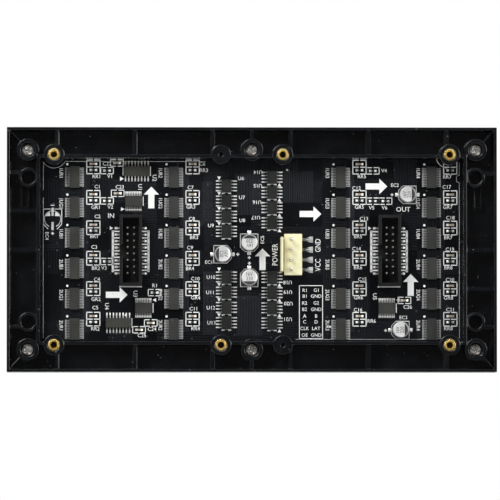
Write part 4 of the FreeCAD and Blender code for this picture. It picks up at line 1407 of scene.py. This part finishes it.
@dataclass
class Legend:
    """White print on the board: outlines, marks, arrows and lettering, each a thin raised slab.

    The lines are widths of strokes, and the prints are heights of capitals.
    """

    thickness: float = 0.03
    border_line: float = 0.1
    spare_line: float = 0.24
    outline_line: float = 0.26
    bar_line: float = 0.3
    lone_line: float = 0.32
    cluster_line: float = 0.36
    plus_line: float = 0.42
    table_print: float = 1.35
    part_print: float = 1.45
    driver_print: float = 1.5
    chip_print: float = 1.6
    header_print: float = 1.9
    supply_print: float = 2.2
    strokes: list[np.ndarray] = field(default_factory=list)
    fills: list[Surface] = field(default_factory=list)

    def draw(self, path: Path, width: float, places: Path = ((0.0, 0.0),)) -> None:
        """Adds a line through the path's points, at every place.

        Args:
            path: the line's points.
            width: its width.
            places: where it is repeated.
        """
        path = np.asarray(path, float)
        row = np.column_stack([path[:-1], path[1:], np.full(len(path) - 1, width)])
        spots = np.array(places)
        moved = row[None] + np.column_stack([spots, spots, np.zeros(len(spots))])[:, None]
        self.strokes.append(moved.reshape(-1, 5))

    def fill(self, outline: Path, places: list[Pair], turns: float = 0.0) -> None:
        """Adds a filled shape at every place."""
        self.fills.append(slab(np.array(outline, float), 0.0, self.thickness).repeated(places, turns))

    def dot(self, radius: float, places: list[Pair]) -> None:
        """Adds a round dot at every place."""
        self.fill(unit_circle(full_turn(16)) * radius, places)

    def wedge(self, place: Pair, aim: Aim, size: float = 1.0) -> None:
        """Adds a pin one triangle."""
        back, side = -0.6 * size, 0.75 * size
        self.fill([(back, -side), (side, 0.0), (back, side)], [place], aim.value)

    def arrow(self, place: Pair, aim: Aim) -> None:
        """Adds one large arrow, its shaft and its head."""
        self.fill([(-4.25, -1.2), (1.25, -1.2), (1.25, 1.2), (-4.25, 1.2)], [place], aim.value)
        self.fill([(1.19, -3.0), (4.25, 0.0), (1.19, 3.0)], [place], aim.value)

    def write(
        self, text: str, place: Pair, capital: float, turns: int = 0, narrow: float = 1.0
    ) -> None:
        """Adds words.

        Args:
            text: the words.
            place: their middle.
            capital: height of the capitals.
            turns: quarter turns anticlockwise.
            narrow: width of the letters, as a share of the usual one.
        """
        sized = letters(text, capital, narrow)
        sized.points[:, 2] *= self.thickness
        self.fills.append(sized.repeated([place], turns))

    def stroke_surface(self) -> Surface:
        """Every stroke as a slab, its ends moved by half the width outwards and to either side.

        Returns:
            All strokes as one surface.
        """
        rows = np.vstack(self.strokes)
        start, end, half = rows[:, 0:2], rows[:, 2:4], rows[:, 4:5] / 2
        along = (end - start) / np.linalg.norm(end - start, axis=1, keepdims=True)
        side = np.stack([-along[:, 1], along[:, 0]], axis=-1)
        flat = np.stack([start - along * half - side * half, end + along * half - side * half,
                         end + along * half + side * half, start - along * half + side * half], axis=1)
        low = np.concatenate([flat, np.zeros((len(rows), 4, 1))], axis=2)
        high = np.concatenate([flat, np.full((len(rows), 4, 1), self.thickness)], axis=2)
        points = np.concatenate([low, high], axis=1).reshape(-1, 3)
        box = np.array([(3, 2, 1, 0), (4, 5, 6, 7), (0, 1, 5, 4), (1, 2, 6, 5), (2, 3, 7, 6), (3, 0, 4, 7)])
        quads = (box[None] + np.arange(len(rows))[:, None, None] * 8).reshape(-1, 4)
        return Surface(points, quads, np.zeros((0, 3), int))

    def arc(self, place: Pair, radius: float, start: float, end: float, width: float) -> None:
        """Adds an arc of a circle, its angles in degrees."""
        angle = np.radians(np.linspace(start, end, max(4, int(abs(end - start) / 10))))
        self.draw(np.array(place) + unit_circle(angle) * radius, width)

    def border(self) -> None:
        """The thin line round the parts' field, with white arcs below the two upper corner bosses, the right
        one only over the lower left part of its circle.
        """
        x, z, width = 81.7, 34.9, self.border_line
        self.draw([(-73.1, z), (-18.0, z)], width)
        self.draw([(17.5, -z), (73.1, -z)], width)
        self.draw([(-x, 34.5), (-x, 23.7)], width)
        self.draw([(-x, 20.6), (-x, -34.5)], width)
        self.draw([(x, 34.5), (x, 29.6), (80.6, 29.2), (80.6, 27.1), (x, 26.7), (x, -34.5)], width)
        self.arc((-77.5, 37.3), 5.0, 209, 331, width)
        self.arc((77.5, 37.3), 5.0, 200, 262, 0.2)

    def part_marks(self) -> None:
        """Bracket outlines round the chip parts and their designators."""
        lone = [*LONE_CERAMICS, *LONE_RESISTORS]
        for side in (-1, 1):
            for level in (-2.68, 0.0, 2.68):
                self.draw([(side * 2.6, level), (side * 0.45, level)], self.cluster_line, CLUSTERS)
            self.draw([(side * 2.6, -2.68), (side * 2.6, 2.68)], self.cluster_line, CLUSTERS)
            near, far = side * 0.5, side * 2.5
            self.draw([(near, 1.25), (far, 1.25), (far, -1.25), (near, -1.25)], self.lone_line, lone)
        labels = {
            "RR": (
                (-60.9, 29.0), (-61.2, -30.8), (-18.7, 31.5), (-21.9, -30.7), (43.4, 29.1), (47.2, -27.7),
                (77.0, 29.0), (77.4, -30.6),
            ),
            "GR": (
                (-61.2, 16.9), (-61.0, -19.2), (-23.8, 17.1), (-21.9, -18.6), (42.4, 17.1), (42.0, -18.5),
                (77.2, 17.1), (77.4, -18.6),
            ),
            "BR": (
                (-61.8, 5.5), (-61.0, -7.0), (-22.5, 5.1), (-24.1, -7.1), (41.9, 5.5), (41.9, -6.7),
                (77.4, 5.1), (77.4, -6.7),
            ),
            "C": (
                (-60.6, 25.0), (-60.4, 13.3), (-61.7, 1.3), (-60.6, -11.4), (-61.3, -22.5), (-19.3, 34.0),
                (-23.9, 24.7), (-23.4, 12.4), (-24.1, 1.1), (-22.0, -11.1), (-22.8, -22.9), (41.3, 24.5),
                (44.2, 12.5), (41.3, 0.7), (43.6, -11.3), (41.9, -23.3), (76.8, 25.0), (78.2, 12.9),
                (78.0, 0.5), (78.0, -11.5), (78.0, -23.2), (-56.7, 34.0), (-51.7, 24.9), (-39.0, -30.9),
                (-43.0, -33.4), (61.4, -22.2),
            ),
            "V": ((-55.7, 29.1), (-55.4, 17.0), (-57.9, -6.9), (52.1, 31.4), (47.2, 16.8), (52.3, 16.8)),
            "R": ((-38.0, -13.8),),
        }
        for prefix, places in labels.items():
            for number, place in enumerate(places, 1):
                self.write(f"{prefix}{number}", place, self.part_print)

    def chip_marks(self) -> None:
        """Pin one marks, bars and designators of the chips."""
        kinds = ("R", "G", "B", "B", "G", "R")
        drivers = [(column, row) for column in DRIVER_COLUMNS for row in DRIVER_ROWS]
        self.dot(0.46, [(x - 2.8, z + 5.07) for x, z in drivers])
        for number, (x, z) in enumerate(drivers):
            half = 1 if number % 6 < 3 else 2
            label = f"{half}U{kinds[number % 6]}{number // 6 + 1}"
            self.write(label, (x - 5.2, z + 1.6), self.driver_print, turns=3, narrow=0.86)
        for name, (x, top) in SWITCH_GROUPS.items():
            left = name.startswith("left")
            for number in range(4):
                z = top - SWITCH_STEP * number
                for side in (-1, 1):
                    self.draw([(x + side * 1.7, z - 2.99), (x + side * 0.8, z - 2.99)], 0.34)
                self.draw([(x - 1.7, z - 2.72), (x + 1.7, z - 2.72)], 0.14)
                spot = (x - 2.9, z + 3.05) if left else (x + 2.9, z - 3.05)
                self.wedge(spot, Aim.DOWN if left else Aim.UP)
        left_labels = ((-4.1, 28.3), (-3.7, 20.8), (-3.6, 11.8), (-15.9, 9.8), (-15.9, -10.5), (-16.3, -16.5),
                       (-15.9, -22.5), (-15.7, -28.4))
        right_labels = ((2.6, 30.7), (2.5, 25.4), (2.2, 18.9), (1.7, 12.9), (14.2, -12.6), (14.3, -16.4),
                        (14.5, -20.9), (14.4, -27.1))
        for number, place in enumerate(left_labels + right_labels, 6):
            self.write(f"U{number}", place, self.part_print, turns=0 if place in left_labels else 2)
        others = ((-43.7, 24.9), (-38.0, 28.4), (-45.5, -17.1), (-56.7, -22.0), (48.5, -18.1))
        for number, place in enumerate(others, 1):
            self.write(f"U{number}", place, self.chip_print, turns=3)
        for chips, half in ((DECODERS, 5.35), (BUFFERS, 3.8)):
            for x, z in chips.values():
                self.draw([(x + half, z - 1.7), (x + half, z + 1.7)], self.bar_line)
        self.draw([(-50.4, 29.6), (-50.4, 32.8)], self.bar_line)
        self.wedge((-50.9, 28.1), Aim.RIGHT, 1.1)
        self.wedge((-50.6, 16.2), Aim.RIGHT)
        self.wedge((-38.0, -19.5), Aim.LEFT)
        self.wedge((57.6, -19.4), Aim.LEFT)
        self.dot(0.4, [(-49.4, -25.5)])

    def can_marks(self) -> None:
        """Square outlines round the cans with two cut corners, plus signs and designators."""
        half, cut = 3.45, 1.75
        for (x, z), clockwise in CANS:
            for edge in (-1, 1):
                path = np.array([(-half, 0.9 * edge), (-half, half * edge), (half - cut, half * edge),
                                 (half, (half - cut) * edge), (half, 0.9 * edge)])
                angle = -clockwise * math.pi / 2
                turn = np.array([[math.cos(angle), math.sin(angle)], [-math.sin(angle), math.cos(angle)]])
                self.draw(path @ turn + (x, z), self.outline_line)
        pluses = ((-0.82, -2.83), (-0.82, -5.06), (-5.34, -1.53), (55.24, 21.91), (52.69, -31.41),
                  (-78.05, 6.63))
        for x, z in pluses:
            self.draw([(x - 0.35, z), (x + 0.35, z)], self.plus_line)
            self.draw([(x, z - 0.35), (x, z + 0.35)], self.plus_line)
        labels = (((-16.8, -4.6), 0), ((56.4, 25.7), 0), ((59.7, -26.3), 0), ((-80.2, 5.6), 3),
                  ((4.3, 4.2), 1))
        for number, (place, turns) in enumerate(labels, 1):
            self.write(f"EC{number}", place, self.table_print, turns)
        self.spare_place(SPARE_CAN)

    def spare_place(self, place: Pair) -> None:
        """The can that isn't fitted: a circle, a square with cut lower corners and filled segments."""
        x, z = place
        self.arc(place, 3.2, -62, 242, self.outline_line)
        for side in (-1, 1):
            near, far, cut = x + side * 0.9, x + side * 3.6, x + side * 1.8
            self.draw([(near, z + 3.9), (far, z + 3.9), (far, z - 2.0), (cut, z - 3.9)], self.spare_line)
        segment = unit_circle(np.radians(np.linspace(22, 68, 9))) * 3.0
        outline = np.vstack([segment, [(0.9, 1.15)]])
        self.fill(outline, [place])
        self.fill(outline[::-1] * (-1, 1), [place])
        self.draw([(x - 0.6, z + 5.4), (x + 0.6, z + 5.4)], self.bar_line)

    def connector_marks(self) -> None:
        """Comb outlines of the headers, their names, the supply words and the pin table."""
        for name, (x, z) in HEADERS.items():
            for side in (-1, 1):
                bar = x + side * 6.97
                self.draw([(bar, z + 7.6), (bar, z - 7.9)], 0.85)
                for number in range(7):
                    level = z + (number - 3) * HEADER_PITCH
                    self.draw([(bar, level), (bar - side * 2.6, level)], 0.5)
            self.draw([(x - 4.3, z - 14.1), (x + 4.3, z - 14.1)], self.bar_line)
            self.wedge((x - 7.6, z + 8.9), Aim.RIGHT, 0.95)
        self.draw([(49.98, -9.9), (49.98, -13.9)], 0.45)
        self.write("IN", (-55.1, 13.6), self.header_print)
        self.write("OUT", (59.7, 16.2), self.header_print)
        upright = (("POWER", (9.23, -1.6), 0.8), ("GND", (26.1, 1.95), 0.76), ("VCC", (26.1, -5.75), 0.78))
        for text, place, narrow in upright:
            self.write(text, place, self.supply_print, turns=1, narrow=narrow)
        rows = (-15.63, -17.94, -20.65, -23.12, -25.75, -28.03, -30.62, -33.21)
        names = (("R1", "G1"), ("B1", "GND"), ("R2", "G2"), ("B2", "GND"), ("A", "B"), ("C", "D"),
                 ("CLK", "LAT"), ("OE", "GND"))
        for level, (first, second) in zip(rows, names):
            self.write(first, (20.9, level), self.table_print)
            self.write(second, (25.45, level), self.table_print)
        left, right, high, low = 18.84, 27.95, -13.82, -34.6
        table = [(left, high), (right, high), (right, low), (left, low), (left, high)]
        self.draw(table, self.outline_line)

    def build(self) -> None:
        """Draws everything and makes the legend's pieces."""
        self.border()
        self.part_marks()
        self.chip_marks()
        self.can_marks()
        self.connector_marks()
        arrows = (
            ((-39.3, 20.73), Aim.UP), ((49.11, 25.17), Aim.RIGHT), ((23.2, 14.33), Aim.RIGHT),
            ((-52.88, -17.47), Aim.RIGHT), ((4.36, -3.49), Aim.UP), ((62.58, -13.54), Aim.UP),
        )
        for place, aim in arrows:
            self.arrow(place, aim)
        make_piece("legend_lines", self.stroke_surface(), BOARD_LEGEND)
        make_piece("legend_marks", joined(self.fills), BOARD_LEGEND)


@dataclass
class Board:
    """The printed board with all the solder on it."""

    def build(self, solder: list[Surface]) -> None:
        """Dresses the board and makes one piece of its solder and bare pads.

        Args:
            solder: the fillets of all the parts.
        """
        finish_node("circuit_board", BOARD_LAMINATE, bevel=0.05)
        across, along = SPARE_CAN
        pad_places = [(across, along + 2.81), (across, along - 2.79)]
        bare_pads = block(0.45, 1.6, 0.0, 0.05, 0.02).repeated(pad_places)
        test_point = turned([(0.42, 0.0), (0.42, 0.03), (0.3, 0.07)], 16)
        test_places = [(-48.9, 13.2), (-45.9, 13.2), (55.5, 13.4), (14.0, 31.6), (31.0, -30.0)]
        shapes = [*solder, bare_pads, test_point.repeated(test_places)]
        make_piece("board_solder", joined(shapes), SOLDER)


# Studio


@dataclass
class Studio:
    """Pale floor, soft lights, white surroundings and the camera of the photograph."""

    scale_mm: float = 0.3926
    pixels: int = 500
    distance: float = 2.9
    aim_mm: Pair = (-0.55, 0.16)
    from_left_deg: float = 1.3
    from_below_deg: float = 1.9
    floor_radius: float = 4.0
    fade_start: float = 0.25
    fade_end: float = 1.1
    soft_light: float = 0.6
    dark_side: float = 0.05
    lamp_size: float = 0.8
    lamps: tuple[tuple[str, Point, float], ...] = (
        ("key", (-0.75, -1.35, 1.0), 23.0), ("fill", (1.25, -0.9, 0.4), 14.0),
        ("front", (0.3, 1.1, 1.1), 8.0),
    )

    def floor(self) -> None:
        """A round floor: rings of growing radius about the panel's foot, seen only from above."""
        around = 64
        here = np.arange(around)
        after = np.roll(here, -1)
        radius = np.array([0.3, 1.0, self.floor_radius])
        rings = radius[:, None, None] * unit_circle(full_turn(around))
        points = np.vstack([np.zeros((1, 3)), at_height(rings.reshape(-1, 2), 0.0)])
        faces = np.stack([np.zeros(around, int), 1 + here, 1 + after], axis=-1).tolist()
        for first in (1, 1 + around):
            second = first + around
            faces += np.stack([first + here, second + here, second + after, first + after], axis=-1).tolist()
        mesh = bpy.data.meshes.new("floor")
        mesh.from_pydata(points.tolist(), [], faces)
        floor = placed("floor", mesh)
        floor.data.materials.append(self.floor_material())

    def floor_material(self) -> bpy.types.Material:
        """Pale floor with a faint mottle, which a camera below it and reflections see through."""
        material = bpy.data.materials.new("pale_floor")
        material.use_nodes = True
        nodes = Nodes(material.node_tree)
        place = nodes.add("TexCoord").outputs["Object"]
        mottle = nodes.noise(place, 6.0, 3.0)
        colour = nodes.blend(mottle, (0.88, 0.88, 0.88, 1.0), (0.92, 0.92, 0.92, 1.0))
        shader = nodes.add("BsdfPrincipled", Base_Color=colour, Roughness=0.7)
        clear = nodes.add("BsdfTransparent")
        paths = nodes.add("LightPath")
        camera_ray, glossy_ray = paths.outputs["Is Camera Ray"], paths.outputs["Is Glossy Ray"]
        behind = nodes.math("MULTIPLY", nodes.add("NewGeometry").outputs["Backfacing"], camera_ray)
        white = nodes.add("Emission", Color=(1.0, 1.0, 1.0, 1.0), Strength=1.0)
        away = nodes.add("VectorMath", {"operation": "LENGTH"})
        nodes.feed(away.inputs[0], place)
        fade = nodes.span(away.outputs["Value"], 0.0, 1.0, self.fade_start, self.fade_end)
        fade = nodes.math("MULTIPLY", fade, camera_ray)
        faded = nodes.mix(fade, shader.outputs["BSDF"], white.outputs["Emission"])
        mixed = nodes.mix(nodes.math("MAXIMUM", behind, glossy_ray), faded, clear.outputs["BSDF"])
        nodes.add("OutputMaterial", Surface=mixed)
        return material

    def surroundings(self) -> None:
        """White for the camera. Reflections show a white backdrop beyond the panel and on its sides.

        It falls off to a dark room on the wiring side, so that black faces stay black with lit edges.
        """
        world = bpy.data.worlds.new("studio")
        world.use_nodes = True
        bpy.context.scene.world = world
        nodes = Nodes(world.node_tree)
        paths = nodes.add("LightPath")
        seen = nodes.math("MAXIMUM", paths.outputs["Is Camera Ray"], paths.outputs["Is Transmission Ray"])
        way = nodes.add("SeparateXYZ", Vector=nodes.add("TexCoord").outputs["Generated"])
        backdrop = nodes.span(way.outputs["Y"], self.dark_side, 1.0, -0.9, -0.25)
        dimmed = nodes.math("MULTIPLY", backdrop, self.soft_light)
        extra = nodes.math("SUBTRACT", backdrop, dimmed)
        strength = nodes.math("MULTIPLY_ADD", paths.outputs["Is Glossy Ray"], extra, dimmed)
        light = nodes.add("Background", Color=(1.0, 1.0, 1.0, 1.0), Strength=strength)
        white = nodes.add("Background", Color=(1.0, 1.0, 1.0, 1.0), Strength=1.0)
        mixed = nodes.mix(seen, light.outputs["Background"], white.outputs["Background"])
        nodes.add("OutputWorld", Surface=mixed)

    def lamp(self, name: str, place: Point, power: float) -> None:
        """Adds one soft lamp that faces the panel's middle.

        Args:
            name: its name.
            place: where it hangs, in metres.
            power: its power in watts.
        """
        data = bpy.data.lights.new(name, "AREA")
        data.shape = "SQUARE"
        data.size = self.lamp_size
        data.energy = power
        lamp = placed(name, data)
        lamp.location = place
        towards = Vector((0.0, 0.0, MIDDLE * MM)) - Vector(place)
        lamp.rotation_euler = towards.to_track_quat("-Z", "Y").to_euler()

    def camera(self) -> None:
        """Sets the camera far away, slightly below and to the left, as in the photograph."""
        aim = Vector((self.aim_mm[0] * MM, REAR_FACE * MM, (MIDDLE + self.aim_mm[1]) * MM))
        left, below = math.radians(self.from_left_deg), math.radians(self.from_below_deg)
        away = Vector((-math.tan(left), -1.0, -math.tan(below)))
        data = bpy.data.cameras.new("camera")
        half_field = self.scale_mm * MM * self.pixels / 2
        data.sensor_width = 36.0
        data.lens = data.sensor_width / 2 * self.distance * away.length / half_field
        data.clip_start, data.clip_end = 0.1, 30.0
        camera = placed("camera", data)
        camera.location = aim + away * self.distance
        camera.rotation_euler = (-away).to_track_quat("-Z", "Y").to_euler()
        bpy.context.scene.camera = camera

    def build(self) -> None:
        """Makes floor, surroundings, lamps and camera."""
        bpy.context.scene.view_settings.view_transform = "Standard"
        self.floor()
        self.surroundings()
        for name, place, power in self.lamps:
            self.lamp(name, place, power)
        self.camera()


def main() -> None:
    """Builds the panel's looks in order, then the studio."""
    logging.basicConfig(level=logging.INFO, format="%(name)s: %(message)s")
    Frame().build()
    LitFace().build()
    solder = Chips().build() + ChipParts().build() + CanCapacitors().build() + Connectors().build()
    Board().build(solder)
    Legend().build()
    Studio().build()


if __name__ == "__main__":
    main()
